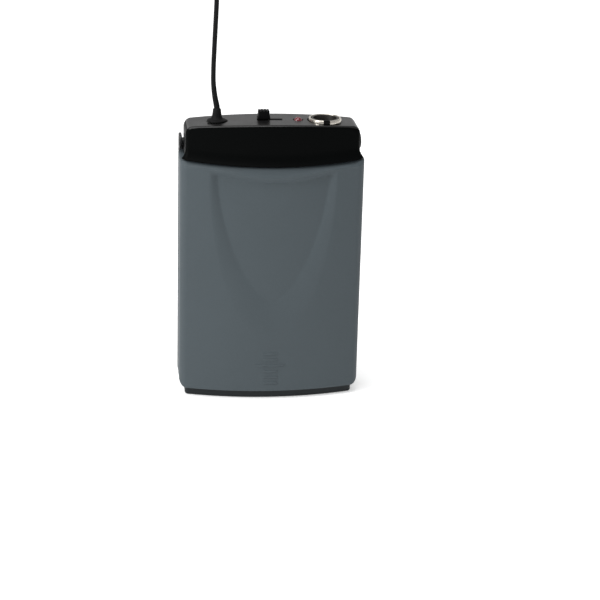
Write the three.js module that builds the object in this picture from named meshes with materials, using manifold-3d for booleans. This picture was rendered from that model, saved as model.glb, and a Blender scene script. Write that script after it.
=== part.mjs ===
// Wireless bodypack transmitter: a belt-worn radio transmitter for a microphone.
// Millimetres, +Z up, the front faces -Y. The origin is at the centre of the base.
import * as THREE from 'three';
import { mergeVertices } from 'three/addons/utils/BufferGeometryUtils.js';
import Module from 'manifold-3d';

const wasm = await Module();
wasm.setup();

// ---------- driving dimensions ----------
const gap = 0.3;               // clearance between pieces that rest on or pass each other

// case: a flat-backed box whose front bows forwards
const caseWidth = 64;
const frontRoom = 2.1;         // between the cells and the front cover, at the middle
const frontBulge = 5.2;        // how far the front's middle stands ahead of its corners
const frontCorner = 3.5;       // plan radius of the front corners
const backCorner = 3.0;        // plan radius of the back corners
const shellWall = 1.8;
const shellSag = 1.6;          // how far the shells' top edge dips at the middle
const shellFoot = 3.2;         // lower edge of the grey shells
const footRadius = 2.6;        // rounding of the shells' lower corners
const splitY = 3.0;            // where the front cover meets the rear case

// top cap
const capHeight = 11.4;        // from the shells' top edge to the roof, at the sides
const capCrown = 1.6;          // the roof is this much higher at the middle
const capInset = 1.8;          // how far the cap's walls stand inside the grey shells
const capWall = 1.6;
const roofThickness = 2.0;
const capShoulder = 3.0;       // rounding of the cap's upper corners
const flareHeight = 4.6;       // the cap widens to the shells over this height
const flareLip = 0.25;
const lipDepth = 2.2;          // the cap's tongue behind the shells' top edge

// base
const baseHeight = 5.0;
const baseRim = 2.4;           // round the shallow well in its top
const baseFloor = 1.6;

// sunk tongue panel on the front cover
const panelHalfWidth = 21.2;
const panelBelowTop = 4.8;     // from the shells' top edge down to the panel
const panelTip = 26;
const panelDepth = 0.6;

// thumb ribs below the panel
const ribCount = 6;
const ribPitch = 2.2;
const ribWidth = 5.7;
const wideRibWidth = 11.4;
const wideRib = 4;             // counted from the lowest
const ribHeight = 0.8;
const ribProud = 0.3;
const firstRibZ = 6.4;

// door rails
const railDepth = 1.2;
const railWidth = 1.2;
const railBelowTop = 8.8;
const railFoot = 6;

// battery bay
const cellRadius = 7.25;
const cellLength = 50.5;
const cellNub = 1.0;
const nubRadius = 2.7;
const cellRounding = 0.45;
const cellGap = 0.7;           // between the two cells
const springHeight = 3.4;
const springWire = 0.35;       // radius of the wire
const springTurns = 3;
const springWide = 4.6;
const springNarrow = 2.6;
const contactThickness = 0.4;
const trayWall = 1.2;
const trayEnd = 1.5;
const trayBack = 1.1;
const trayEndReach = 6;        // of the bay's two ends, ahead of the cells' middle
const trayWallReach = 2;
const trayBossDepth = 6;
const contactHalf = 5.2;
const tabHalf = 1.3;           // of the contacts' soldering tabs
const tabReach = 3;            // up the board

// circuit board
const boardThickness = 1.2;
const boardHeight = 27;
const boardSideRoom = 5;       // from the case's side to the board's edge
const boardHeadroom = 3.2;     // from the board up to the cap's roof
const boardBackRoom = 1.1;     // between the board and the cap's rear wall
const boardScrewInset = 7;     // from the board's edge to its screws
const capacitorRadius = 2.1;
const capacitorLength = 5.5;

// gain trimmer
const potX = 16;
const potRise = 10;            // from the board's lower edge
const potHalf = 3.4;
const potDepth = 3.2;
const dialRadius = 2.4;
const dialDepth = 1.6;

// antenna
const antennaInset = 12.8;     // from the case's side
const whipRadius = 0.82;
const whipLength = 96;         // from the board to the tip
const bootRadius = 3.4;
const bootHeight = 5;
const bushRadius = 3.2;
const bushNeck = 1.9;
const bushHeight = 2.9;
const leadHalf = 2.4;          // strip from the bush to the board
const leadThickness = 0.5;
const leadTail = 4;            // soldered to the board
// the whip's bow: height above the boot, and distance to the side
const whipBow = [
  [4, -0.75], [9, -1.3], [14, -1.32], [22, -1.05], [36, -0.5], [52, -0.1], [68, 0],
];

// power switch
const switchX = -1.0;
const slotLength = 8.6;
const slotWidth = 2.4;
const knobWidth = 4.4;
const knobDepth = 3.6;
const knobHeight = 3.1;
const knobTravel = 4.2;
const groovePitch = 1.2;
const grooveDepth = 0.4;
const stemHalf = 1.7;

// indicator
const lampX = 8.9;
const lampRadius = 1.5;
const lampProud = 0.9;
const lampFlange = 2.0;        // radius of its flange, under the roof
const domeSteps = 4;

// microphone socket
const socketInset = 13.8;      // from the case's side
const ringRadius = 5.75;
const ringHeight = 1.5;
const shellRadius = 4.6;
const shellBore = 4.1;
const shellFlange = 5.5;       // holds the shell under the roof
const socketDepth = 13;
const pinTail = 2.5;           // of the pins, below the shell
const pinRadius = 0.5;
const pinCircle = 2.0;
const pinRecess = 4.8;
const insertRecess = 9;

// belt clip
const clipThickness = 1.0;
const clipArmHeight = 5.2;
const clipArmLift = 1.0;       // of the arms above the shells' top edge
const clipPivotY = 6.6;
const clipStrapHeight = 5.8;
const clipWidth = 22;
const clipFoot = 27;
const beltRoom = 5.0;
const clipStandoff = 0.5;
const clipBend = 1.6;
const pivotRadius = 1.2;

// screws
const screwRadius = 1.3;
const screwHead = 2.6;
const screwHeadHeight = 1.5;
const screwLength = 7;
const crossArm = 1.6;
const crossHalf = 0.3;
const bossRadius = 3.2;
const boardScrewRadius = 1.0;
const boardScrewHead = 2.2;
const boardScrewRise = 4;      // from the board's lower edge

// facets
const frontSteps = 14;         // along the bowed front
const cornerSteps = 4;         // round each upright corner
const edgeSteps = 6;           // along curves seen from the front

// ---------- derived ----------
const halfWidth = caseWidth / 2;
const caseDepth = 2 * shellWall + trayBack + 3 * gap + 2 * cellRadius + frontRoom;
const frontY = -caseDepth / 2;
const backY = caseDepth / 2;
const frontRadius = (halfWidth ** 2 + frontBulge ** 2) / (2 * frontBulge);
const frontCentreY = frontY + frontRadius;
const baseInset = shellWall + gap;
const capHalf = halfWidth - capInset;
const bayFloor = baseHeight + gap + trayEnd;
const bayHeight = cellLength + springHeight + 2 * contactThickness + 5 * gap;
const bayCeiling = bayFloor + bayHeight;
const trayTop = bayCeiling + trayEnd;
const cellSpacing = 2 * cellRadius + cellGap;
const cellY = backY - shellWall - 2 * gap - trayBack - gap - cellRadius;
const boardFoot = trayTop + gap + 1.2;
const boardTop = boardFoot + boardHeight;
const screwZ = boardFoot + boardScrewRise;
const roofUnder = boardTop + boardHeadroom;
const capTop = roofUnder + roofThickness;
const shellTop = capTop - capHeight;
const panelTop = shellTop - panelBelowTop;
const railTop = shellTop - railBelowTop;
const boardBackY = backY - capInset - capWall - boardBackRoom;
const boardFrontY = boardBackY - boardThickness;
const boardWidth = caseWidth - 2 * boardSideRoom;
const boardScrewX = boardWidth / 2 - boardScrewInset;
const antennaX = antennaInset - halfWidth;
const socketX = halfWidth - socketInset;
const socketSeat = seatZ(socketX, ringRadius + gap);
const socketRim = socketSeat + gap + ringHeight;
const socketFoot = socketRim - socketDepth;
const slotLeft = switchX - slotLength / 2;
const slotRight = switchX + slotLength / 2;
const whipHole = whipRadius + gap;
const clipArmZ = shellTop + clipArmLift + clipArmHeight / 2;
const railFrontY = splitY - gap - railWidth - gap;
const webX = halfWidth - shellWall - railDepth - 2 * gap - trayWall;
const cellReach = cellSpacing / 2 + cellRadius + gap;
const caseScrewX = (cellReach + trayWall + webX) / 2;
const caseScrewZ = [bayFloor + 7, bayCeiling - 7];


// The roof's height across the cap.
function roofHeight(x) {
  return capTop + capCrown * (1 - (x / capHalf) ** 2);
}

// The level of a flat seat cut into the crowned roof round a fitting.
function seatZ(x, radius) {
  return roofHeight(Math.abs(x) + radius) - 0.1;
}

// ---------- solids ----------
function toSolid(geometry) {
  const bare = geometry.clone();
  bare.deleteAttribute('normal');
  bare.deleteAttribute('uv');
  const merged = mergeVertices(bare, 1e-4);
  const index = merged.index.array;
  const triangles = [];
  for (let i = 0; i < index.length; i += 3) {
    const [a, b, c] = [index[i], index[i + 1], index[i + 2]];
    if (a !== b && b !== c && c !== a) triangles.push(a, b, c);
  }
  return new wasm.Manifold(new wasm.Mesh({
    numProp: 3,
    vertProperties: new Float32Array(merged.attributes.position.array),
    triVerts: new Uint32Array(triangles),
  }));
}

// A shape drawn in X and Y, raised from z0 to z1.
function upPrism(shape, z0, z1) {
  const options = { depth: z1 - z0, bevelEnabled: false };
  return toSolid(new THREE.ExtrudeGeometry(shape, options).translate(0, 0, z0));
}

// A shape drawn in X and Z, run from y0 to y1.
function frontPrism(shape, y0, y1) {
  const options = { depth: y1 - y0, bevelEnabled: false, curveSegments: edgeSteps };
  const geometry = new THREE.ExtrudeGeometry(shape, options);
  return toSolid(geometry.rotateX(Math.PI / 2).translate(0, y1, 0));
}

// A shape drawn in Y and Z, run from x0 to x1.
function sidePrism(shape, x0, x1) {
  const options = { depth: x1 - x0, bevelEnabled: false, curveSegments: edgeSteps };
  const turn = new THREE.Matrix4().makeBasis(
    new THREE.Vector3(0, 1, 0), new THREE.Vector3(0, 0, 1), new THREE.Vector3(1, 0, 0));
  const geometry = new THREE.ExtrudeGeometry(shape, options).applyMatrix4(turn);
  return toSolid(geometry.translate(x0, 0, 0));
}

function block(x0, x1, y0, y1, z0, z1) {
  const geometry = new THREE.BoxGeometry(x1 - x0, y1 - y0, z1 - z0);
  return toSolid(geometry.translate((x0 + x1) / 2, (y0 + y1) / 2, (z0 + z1) / 2));
}

function rodZ(radius, x, y, z0, z1, sides = 16) {
  const geometry = new THREE.CylinderGeometry(radius, radius, z1 - z0, sides);
  return toSolid(geometry.rotateX(Math.PI / 2).translate(x, y, (z0 + z1) / 2));
}

function rodY(radius, x, z, y0, y1, sides = 16) {
  const geometry = new THREE.CylinderGeometry(radius, radius, y1 - y0, sides);
  return toSolid(geometry.translate(x, (y0 + y1) / 2, z));
}

function rodX(radius, y, z, x0, x1, sides = 16) {
  const geometry = new THREE.CylinderGeometry(radius, radius, x1 - x0, sides);
  return toSolid(geometry.rotateZ(Math.PI / 2).translate((x0 + x1) / 2, y, z));
}

// A profile of [radius, height] points, turned about an upright axis at x, y.
function turned(profile, x, y, sides = 24) {
  const points = profile.map(([r, z]) => new THREE.Vector2(r, z));
  const geometry = new THREE.LatheGeometry(points, sides);
  return toSolid(geometry.rotateX(Math.PI / 2).translate(x, y, 0));
}

const all = (solids) => solids.reduce((sum, solid) => sum.add(solid));

// ---------- scene ----------
const group = new THREE.Group();

const finishes = {
  greyShell: { color: 0x555d60, roughness: 0.55, metalness: 0 },
  blackShell: { color: 0x101112, roughness: 0.5, metalness: 0 },
  blackPlastic: { color: 0x18191a, roughness: 0.6, metalness: 0 },
  rubber: { color: 0x0c0c0d, roughness: 0.8, metalness: 0 },
  spring: { color: 0x1a1b1c, roughness: 0.4, metalness: 0.8 },
  nickel: { color: 0xc8c3b8, roughness: 0.25, metalness: 1 },
  brass: { color: 0xc9a653, roughness: 0.3, metalness: 1 },
  steel: { color: 0x9a9ca0, roughness: 0.35, metalness: 1 },
  board: { color: 0x1e5a38, roughness: 0.5, metalness: 0 },
  cell: { color: 0x2f4f7a, roughness: 0.35, metalness: 0.2 },
  sleeve: { color: 0x23262c, roughness: 0.4, metalness: 0 },
  lamp: { color: 0x8a2430, roughness: 0.2, metalness: 0 },
};

function place(name, solid, finish) {
  const mesh = solid.getMesh();
  const geometry = new THREE.BufferGeometry();
  const stride = mesh.numProp;
  const count = mesh.vertProperties.length / stride;
  const positions = new Float32Array(count * 3);
  for (let i = 0; i < count; i += 1) {
    for (let k = 0; k < 3; k += 1) positions[3 * i + k] = mesh.vertProperties[stride * i + k];
  }
  geometry.setAttribute('position', new THREE.BufferAttribute(positions, 3));
  geometry.setIndex(new THREE.BufferAttribute(new Uint32Array(mesh.triVerts), 1));
  geometry.computeVertexNormals();
  const piece = new THREE.Mesh(geometry, new THREE.MeshStandardMaterial(finishes[finish]));
  piece.name = name;
  group.add(piece);
}

// ---------- outlines ----------
function arc(x, y, radius, from, to, steps) {
  return new THREE.EllipseCurve(x, y, radius, radius, from, to, false).getPoints(steps);
}

// The case in plan, drawn a given distance inside its outer faces.
function planOutline(inset) {
  const arcRadius = frontRadius - inset;
  const side = halfWidth - inset;
  const back = backY - inset;
  const corner = Math.max(frontCorner - inset, 0.4);
  const rear = Math.max(backCorner - inset, 0.4);
  const cornerX = side - corner;
  const reach = Math.sqrt((arcRadius - corner) ** 2 - cornerX ** 2);
  const cornerY = frontCentreY - reach;
  const lean = Math.atan2(cornerX, reach);
  const down = -Math.PI / 2;
  return new THREE.Shape([
    ...arc(0, frontCentreY, arcRadius, down - lean, down + lean, frontSteps),
    ...arc(cornerX, cornerY, corner, down + lean, 0, cornerSteps).slice(1),
    ...arc(side - rear, back - rear, rear, 0, Math.PI / 2, cornerSteps),
    ...arc(-side + rear, back - rear, rear, Math.PI / 2, Math.PI, cornerSteps),
    ...arc(-cornerX, cornerY, corner, Math.PI, 1.5 * Math.PI - lean, cornerSteps).slice(0, -1),
  ]);
}

// The grey shells from the front: a dipped top edge and rounded lower corners.
function shellElevation() {
  const side = halfWidth + 1;
  const foot = shellFoot;
  const cornerZ = foot + footRadius;
  const shape = new THREE.Shape();
  shape.moveTo(-halfWidth + footRadius, foot);
  shape.lineTo(halfWidth - footRadius, foot);
  shape.absarc(halfWidth - footRadius, cornerZ, footRadius, -Math.PI / 2, 0, false);
  shape.lineTo(side, cornerZ);
  shape.lineTo(side, shellTop);
  shape.lineTo(halfWidth, shellTop);
  shape.quadraticCurveTo(0, shellTop - 2 * shellSag, -halfWidth, shellTop);
  shape.lineTo(-side, shellTop);
  shape.lineTo(-side, cornerZ);
  shape.lineTo(-halfWidth, cornerZ);
  shape.absarc(-halfWidth + footRadius, cornerZ, footRadius, Math.PI, 1.5 * Math.PI, false);
  return shape;
}

// The cap from the front: the same dipped edge below, a crowned roof above.
function capElevation() {
  const low = shellTop + gap;
  const side = halfWidth + 1;
  const roofEdgeX = capHalf - capShoulder;
  const roofEdgeZ = roofHeight(roofEdgeX);
  const shape = new THREE.Shape();
  shape.moveTo(-side, low);
  shape.lineTo(-halfWidth, low);
  shape.quadraticCurveTo(0, low - 2 * shellSag, halfWidth, low);
  shape.lineTo(side, low);
  shape.lineTo(side, capTop - capShoulder);
  shape.lineTo(capHalf, capTop - capShoulder);
  shape.quadraticCurveTo(capHalf, capTop, roofEdgeX, roofEdgeZ);
  shape.quadraticCurveTo(0, 2 * (capTop + capCrown) - roofEdgeZ, -roofEdgeX, roofEdgeZ);
  shape.quadraticCurveTo(-capHalf, capTop, -capHalf, capTop - capShoulder);
  shape.lineTo(-side, capTop - capShoulder);
  return shape;
}

// A blunt tongue, wide at the top and rounded to a tip.
function tongueOutline(width, top, tip) {
  const height = top - tip;
  const shape = new THREE.Shape();
  shape.moveTo(width, top);
  shape.bezierCurveTo(width * 0.95, top - 0.5 * height, width * 0.66, top - height, 0, tip);
  shape.bezierCurveTo(-width * 0.66, top - height, -width * 0.95, top - 0.5 * height, -width, top);
  shape.quadraticCurveTo(0, top - 2 * shellSag, width, top);
  return shape;
}

// A bent strip in Y and Z: a centre path given a thickness.
function stripOutline(points, thickness) {
  const half = thickness / 2;
  const sideOf = (i, sign) => {
    const before = points[Math.max(i - 1, 0)];
    const after = points[Math.min(i + 1, points.length - 1)];
    const along = new THREE.Vector2().subVectors(after, before).normalize();
    return new THREE.Vector2(points[i].x - sign * half * along.y, points[i].y + sign * half * along.x);
  };
  const left = points.map((_, i) => sideOf(i, 1));
  const right = points.map((_, i) => sideOf(i, -1)).reverse();
  return new THREE.Shape([...left, ...right]);
}

// ---------- case ----------
const shellRing = (z0, z1) => upPrism(planOutline(0), z0, z1)
  .subtract(upPrism(planOutline(shellWall), z0 - 1, z1 + 1));

function makeFrontCover() {
  const shell = shellRing(shellFoot - 1, shellTop + 1)
    .intersect(frontPrism(shellElevation(), frontY - 2, splitY - gap / 2));
  const skin = frontPrism(tongueOutline(panelHalfWidth, panelTop, panelTip), frontY - 2, 0)
    .subtract(upPrism(planOutline(panelDepth), panelTip - 2, panelTop + 2));
  const rails = [-1, 1].map((side) => {
    const outer = halfWidth - shellWall / 2;
    const inner = halfWidth - shellWall - railDepth;
    const [x0, x1] = side > 0 ? [inner, outer] : [-outer, -inner];
    return block(x0, x1, splitY - gap - railWidth, splitY - gap, railFoot, railTop);
  });
  const ribs = [];
  for (let i = 0; i < ribCount; i += 1) {
    const half = (i + 1 === wideRib ? wideRibWidth : ribWidth) / 2;
    const z = firstRibZ + i * ribPitch - ribHeight / 2;
    ribs.push(block(-half, half, frontY - ribProud, frontY + shellWall / 2, z, z + ribHeight));
  }
  return all([shell.subtract(skin), ...rails, ...ribs]);
}

function makeRearCase() {
  const shell = shellRing(shellFoot - 1, shellTop + 1)
    .intersect(frontPrism(shellElevation(), splitY + gap / 2, backY + 2));
  const innerY = backY - shellWall;
  const seats = [];
  const holes = [];
  for (const x of [-caseScrewX, caseScrewX]) {
    for (const z of caseScrewZ) {
      seats.push(rodY(bossRadius + 0.6, x, z, innerY - gap, innerY + 0.5));
      holes.push(rodY(screwHead + gap, x, z, backY - screwHeadHeight, backY + 1));
      holes.push(rodY(screwRadius + gap, x, z, innerY - 2, backY + 1));
    }
  }
  for (const x of [-boardScrewX, boardScrewX]) {
    seats.push(rodY(boardScrewHead + 0.4, x, screwZ, boardBackY + gap, innerY + 0.5));
    holes.push(rodY(boardScrewRadius + gap, x, screwZ, boardBackY - 1, innerY - 0.4));
  }
  return all([shell, ...seats]).subtract(all(holes));
}

function makeBasePlate() {
  const plate = upPrism(planOutline(baseInset), 0, baseHeight);
  const notchX = halfWidth - shellWall - railDepth - gap;
  const wellX = notchX - baseRim;
  const wellFrontY = frontY + baseInset + frontBulge;
  const wellBackY = backY - baseInset - baseRim;
  const well = block(-wellX, wellX, wellFrontY, wellBackY, baseFloor, baseHeight + 1);
  const notches = [-1, 1].map((side) => {
    const [x0, x1] = side > 0 ? [notchX, halfWidth] : [-halfWidth, -notchX];
    return block(x0, x1, splitY - railWidth - 2 * gap, splitY + gap, -1, baseHeight + 1);
  });
  return plate.subtract(all([well, ...notches]));
}

function makeTopCap() {
  const low = shellTop - shellSag - 1;
  const high = capTop + capCrown + 1;
  const body = upPrism(planOutline(capInset), low, high);
  const flare = new THREE.ExtrudeGeometry(planOutline(capInset), {
    depth: shellSag + 1,
    bevelThickness: flareHeight,
    bevelSize: capInset - flareLip,
    bevelSegments: 1,
  }).translate(0, 0, low);
  const outside = body.add(toSolid(flare)).intersect(frontPrism(capElevation(), frontY - 2, backY + 2));
  const tongue = upPrism(planOutline(baseInset), shellTop - shellSag - lipDepth, shellTop + 1);
  const hollow = upPrism(planOutline(capInset + capWall), low - 5, roofUnder);
  const pocketX = halfWidth - capInset;
  const pocketY = clipPivotY - clipArmHeight / 2 - gap;
  const pockets = [-1, 1].map((side) => {
    const [x0, x1] = side > 0 ? [pocketX, halfWidth + 1] : [-halfWidth - 1, -pocketX];
    return block(x0, x1, pocketY, backY + 1, shellTop - 0.5, high);
  });
  const above = high + 1;
  const seat = (x, radius) => rodZ(radius, x, 0, seatZ(x, radius), above, 24);
  const cuts = [
    hollow,
    ...pockets,
    rodX(pivotRadius + gap, clipPivotY, clipArmZ, -halfWidth, -capHalf + capWall + 1),
    rodX(pivotRadius + gap, clipPivotY, clipArmZ, capHalf - capWall - 1, halfWidth),
    seat(antennaX, bootRadius + gap),
    rodZ(bushNeck + gap, antennaX, 0, roofUnder - 1, above),
    block(slotLeft, slotRight, -slotWidth / 2, slotWidth / 2, roofUnder - 1, above),
    rodZ(lampRadius + gap, lampX, 0, roofUnder - 1, above),
    seat(socketX, ringRadius + gap),
    rodZ(shellRadius + gap, socketX, 0, roofUnder - 1, above, 24),
  ];
  return outside.add(tongue).subtract(all(cuts));
}

// ---------- battery bay ----------
function makeBatteryTray() {
  const backFaceY = backY - shellWall - 2 * gap;
  const innerBackY = backFaceY - trayBack;
  const rootY = backFaceY - 0.5;
  const endY = cellY - trayEndReach;
  const bayX = cellReach + trayWall;
  const foot = baseHeight + gap;
  const pieces = [
    block(-webX - trayWall, webX + trayWall, innerBackY, backFaceY, foot, trayTop),
    block(-bayX, bayX, endY, rootY, foot, bayFloor),
    block(-bayX, bayX, endY, rootY, bayCeiling, trayTop),
  ];
  for (const side of [-1, 1]) {
    const span = (x0, x1) => (side > 0 ? [x0, x1] : [-x1, -x0]);
    const [wallA, wallB] = span(cellReach, bayX);
    pieces.push(block(wallA, wallB, cellY - trayWallReach, rootY, foot, trayTop));
    const [webA, webB] = span(webX, webX + trayWall);
    pieces.push(block(webA, webB, railFrontY - trayWall, rootY, foot, trayTop));
    const [lugA, lugB] = span(webX + 0.5, halfWidth - baseInset);
    pieces.push(block(lugA, lugB, railFrontY - trayWall, railFrontY, foot, trayTop));
    for (const z of caseScrewZ) {
      pieces.push(rodY(bossRadius, side * caseScrewX, z, innerBackY - trayBossDepth, rootY));
    }
  }
  const holes = [];
  for (const x of [-caseScrewX, caseScrewX]) {
    for (const z of caseScrewZ) {
      holes.push(rodY(screwRadius + gap, x, z, innerBackY - trayBossDepth + 1, backFaceY + 1));
    }
  }
  const slotFrontY = boardFrontY - contactThickness - 2 * gap;
  for (const x of [-cellSpacing / 2, cellSpacing / 2]) {
    const [x0, x1] = [x - tabHalf - gap, x + tabHalf + gap];
    holes.push(block(x0, x1, slotFrontY, boardFrontY, bayCeiling - 1, trayTop + 1));
  }
  return all(pieces).subtract(all(holes));
}

function makeCell(x, foot, upright) {
  const shoulder = cellLength - cellNub;
  const rim = cellRadius - cellRounding;
  const profile = [
    [0, 0], [rim, 0], [cellRadius, cellRounding], [cellRadius, shoulder - cellRounding],
    [rim, shoulder], [nubRadius, shoulder], [nubRadius, cellLength], [0, cellLength],
  ];
  const placed = upright
    ? profile.map(([r, z]) => [r, foot + z])
    : profile.map(([r, z]) => [r, foot + cellLength - z]).reverse();
  return turned(placed, x, cellY);
}

// A coil of wire, wide against its plate and narrower at the cell.
function makeCoil(x, wideZ, narrowZ) {
  const steps = springTurns * 10;
  const points = [];
  for (let i = 0; i <= steps; i += 1) {
    const share = i / steps;
    const radius = springWide + (springNarrow - springWide) * share;
    const angle = share * springTurns * 2 * Math.PI;
    const z = wideZ + (narrowZ - wideZ) * share;
    points.push(new THREE.Vector3(x + radius * Math.cos(angle), cellY + radius * Math.sin(angle), z));
  }
  const section = new THREE.Shape();
  section.absarc(0, 0, springWire, 0, 2 * Math.PI, false);
  return toSolid(new THREE.ExtrudeGeometry(section, {
    steps,
    curveSegments: 3,
    bevelEnabled: false,
    extrudePath: new THREE.CatmullRomCurve3(points),
  }));
}

function addBattery() {
  const left = -cellSpacing / 2;
  const right = cellSpacing / 2;
  const plateLow = bayFloor + gap;
  const plateHigh = bayCeiling - gap - contactThickness;
  const leftFoot = plateHigh - gap - cellLength;
  const rightFoot = plateLow + contactThickness + gap;
  place('battery_tray', makeBatteryTray(), 'blackPlastic');
  place('cell_left', makeCell(left, leftFoot, true), 'cell');
  place('cell_right', makeCell(right, rightFoot, false), 'cell');
  const [frontEdge, backEdge] = [cellY - contactHalf, cellY + contactHalf];
  const [leftEdge, rightEdge] = [left - contactHalf, right + contactHalf];
  const plateTop = plateLow + contactThickness;
  const bridge = block(leftEdge, rightEdge, frontEdge, backEdge, plateLow, plateTop);
  place('bridge_contact', bridge, 'nickel');
  const tabY = boardFrontY - gap;
  const tabTop = boardFoot + tabReach;
  const contact = (x) => {
    const roof = plateHigh + contactThickness;
    const plate = block(x - contactHalf, x + contactHalf, frontEdge, tabY, plateHigh, roof);
    const tab = block(x - tabHalf, x + tabHalf, tabY - contactThickness, tabY, plateHigh, tabTop);
    return plate.add(tab);
  };
  place('positive_contact', contact(left), 'nickel');
  place('negative_contact', contact(right), 'nickel');
  const coilFoot = plateTop + gap + springWire;
  place('bridge_spring', makeCoil(left, coilFoot, leftFoot - gap - springWire), 'nickel');
  const cellTop = rightFoot + cellLength;
  const coilTop = plateHigh - gap - springWire;
  place('negative_spring', makeCoil(right, coilTop, cellTop + gap + springWire), 'nickel');
}

// ---------- circuit board ----------
function addBoard() {
  const face = boardFrontY - gap;
  const screwEnd = backY - shellWall - 0.8;
  const drill = (x) => rodY(screwRadius, x, screwZ, boardFrontY - 1, boardBackY + 1);
  const board = block(-boardWidth / 2, boardWidth / 2, boardFrontY, boardBackY, boardFoot, boardTop)
    .subtract(drill(-boardScrewX))
    .subtract(drill(boardScrewX));
  place('main_board', board, 'board');
  for (const [name, x] of [['board_screw_left', -boardScrewX], ['board_screw_right', boardScrewX]]) {
    const screw = rodY(boardScrewRadius, x, screwZ, face - 0.2, screwEnd)
      .add(rodY(boardScrewHead, x, screwZ, face - 1.4, face));
    place(name, screw, 'steel');
  }
  // a piece soldered to the board's face: sides, how far it stands out, foot and top
  const part = (x0, x1, height, z0, z1) => block(x0, x1, face - height, face, z0, z1);
  place('shield_can', part(3 - boardWidth / 2, -4, 3.4, boardFoot + 9, boardTop - 5), 'nickel');
  place('audio_chip', part(1, 9, 1.5, boardFoot + 9, boardFoot + 15), 'blackPlastic');
  place('radio_chip', part(-1.5, 5.5, 1.2, boardTop - 10, boardTop - 6), 'blackPlastic');
  place('crystal', crystalCan(0, boardFoot + 4.4, face), 'nickel');
  const capacitorZ = socketFoot - pinTail - gap - capacitorRadius;
  for (const [name, x] of [['capacitor_left', 12], ['capacitor_right', 17]]) {
    place(name, rodY(capacitorRadius, x, capacitorZ, face - capacitorLength, face), 'sleeve');
  }
  const potZ = boardFoot + potRise;
  const pot = part(potX - potHalf, potX + potHalf, potDepth, potZ - potHalf, potZ + potHalf);
  place('gain_pot_body', pot, 'blackPlastic');
  const dialY = face - potDepth - gap;
  const dialCut = dialY - dialDepth + 0.6;
  const dial = rodY(dialRadius, potX, potZ, dialY - dialDepth, dialY)
    .subtract(block(potX - 3, potX + 3, dialCut - 2, dialCut, potZ - 0.35, potZ + 0.35));
  place('gain_dial', dial, 'brass');
}

function crystalCan(x, z, face) {
  const shape = new THREE.Shape();
  const half = 3.4;
  const radius = 1.9;
  shape.absarc(x + half, z, radius, -Math.PI / 2, Math.PI / 2, false);
  shape.absarc(x - half, z, radius, Math.PI / 2, 1.5 * Math.PI, false);
  return frontPrism(shape, face - 3.5, face);
}

// ---------- top fittings ----------
function addAntenna() {
  const seat = seatZ(antennaX, bootRadius + gap);
  const bushTop = roofUnder - gap;
  const bushFoot = bushTop - bushHeight;
  const bush = turned([
    [whipHole, bushFoot], [bushRadius, bushFoot], [bushRadius, bushTop], [bushNeck, bushTop],
    [bushNeck, seat - 0.1], [whipHole, seat - 0.1], [whipHole, bushFoot],
  ], antennaX, 0);
  place('antenna_bush', bush, 'brass');
  const bootFoot = seat + gap;
  const bootTop = seat + bootHeight;
  const boot = turned([
    [whipHole, bootFoot], [bootRadius, bootFoot], [bootRadius, bootFoot + 0.8], [2.0, bootFoot + 1.6],
    [1.5, bootTop - 1], [1.4, bootTop], [whipHole, bootTop], [whipHole, bootFoot],
  ], antennaX, 0);
  place('antenna_boot', boot, 'rubber');
  const leadZ = bushFoot - gap;
  const [x0, x1] = [antennaX - leadHalf, antennaX + leadHalf];
  const leadY = boardFrontY - gap;
  const lead = block(x0, x1, -leadHalf, leadY, leadZ - leadThickness, leadZ)
    .subtract(rodZ(whipHole, antennaX, 0, leadZ - 2, leadZ + 1))
    .add(block(x0, x1, leadY - leadThickness, leadY, leadZ - leadTail, leadZ));
  place('antenna_lead', lead, 'nickel');
  place('antenna_whip', makeWhip(leadZ - 1.2), 'rubber');
}

function makeWhip(foot) {
  const bootTop = seatZ(antennaX, bootRadius + gap) + bootHeight;
  const points = [
    new THREE.Vector3(antennaX, 0, foot),
    new THREE.Vector3(antennaX, 0, bootTop),
    ...whipBow.map(([height, side]) => new THREE.Vector3(antennaX + side, 0, bootTop + height)),
    new THREE.Vector3(antennaX, 0, foot + whipLength),
  ];
  const section = new THREE.Shape();
  section.absarc(0, 0, whipRadius, 0, 2 * Math.PI, false);
  return toSolid(new THREE.ExtrudeGeometry(section, {
    steps: 20,
    curveSegments: 4,
    bevelEnabled: false,
    extrudePath: new THREE.CatmullRomCurve3(points, false, 'centripetal'),
  }));
}

function addSwitch() {
  const top = roofUnder - gap;
  const body = block(switchX - 6, switchX + 6, -3, 3, top - 5, top)
    .subtract(block(slotLeft, slotRight, -1.0, 1.0, top - 3, top + 1));
  place('switch_body', body, 'steel');
  const knobX = switchX - knobTravel / 2;
  const foot = capTop + capCrown + gap;
  const knobTop = foot + knobHeight;
  const half = knobWidth / 2;
  const grip = block(knobX - half, knobX + half, -knobDepth / 2, knobDepth / 2, foot, knobTop);
  const grooves = [-1, 0, 1].map((i) => {
    const x = knobX + i * groovePitch;
    return block(x - 0.25, x + 0.25, -knobDepth, knobDepth, knobTop - grooveDepth, knobTop + 1);
  });
  const stem = block(knobX - stemHalf, knobX + stemHalf, -0.7, 0.7, top - 2.4, foot + 0.5);
  place('power_knob', grip.subtract(all(grooves)).add(stem), 'blackPlastic');
}

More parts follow.
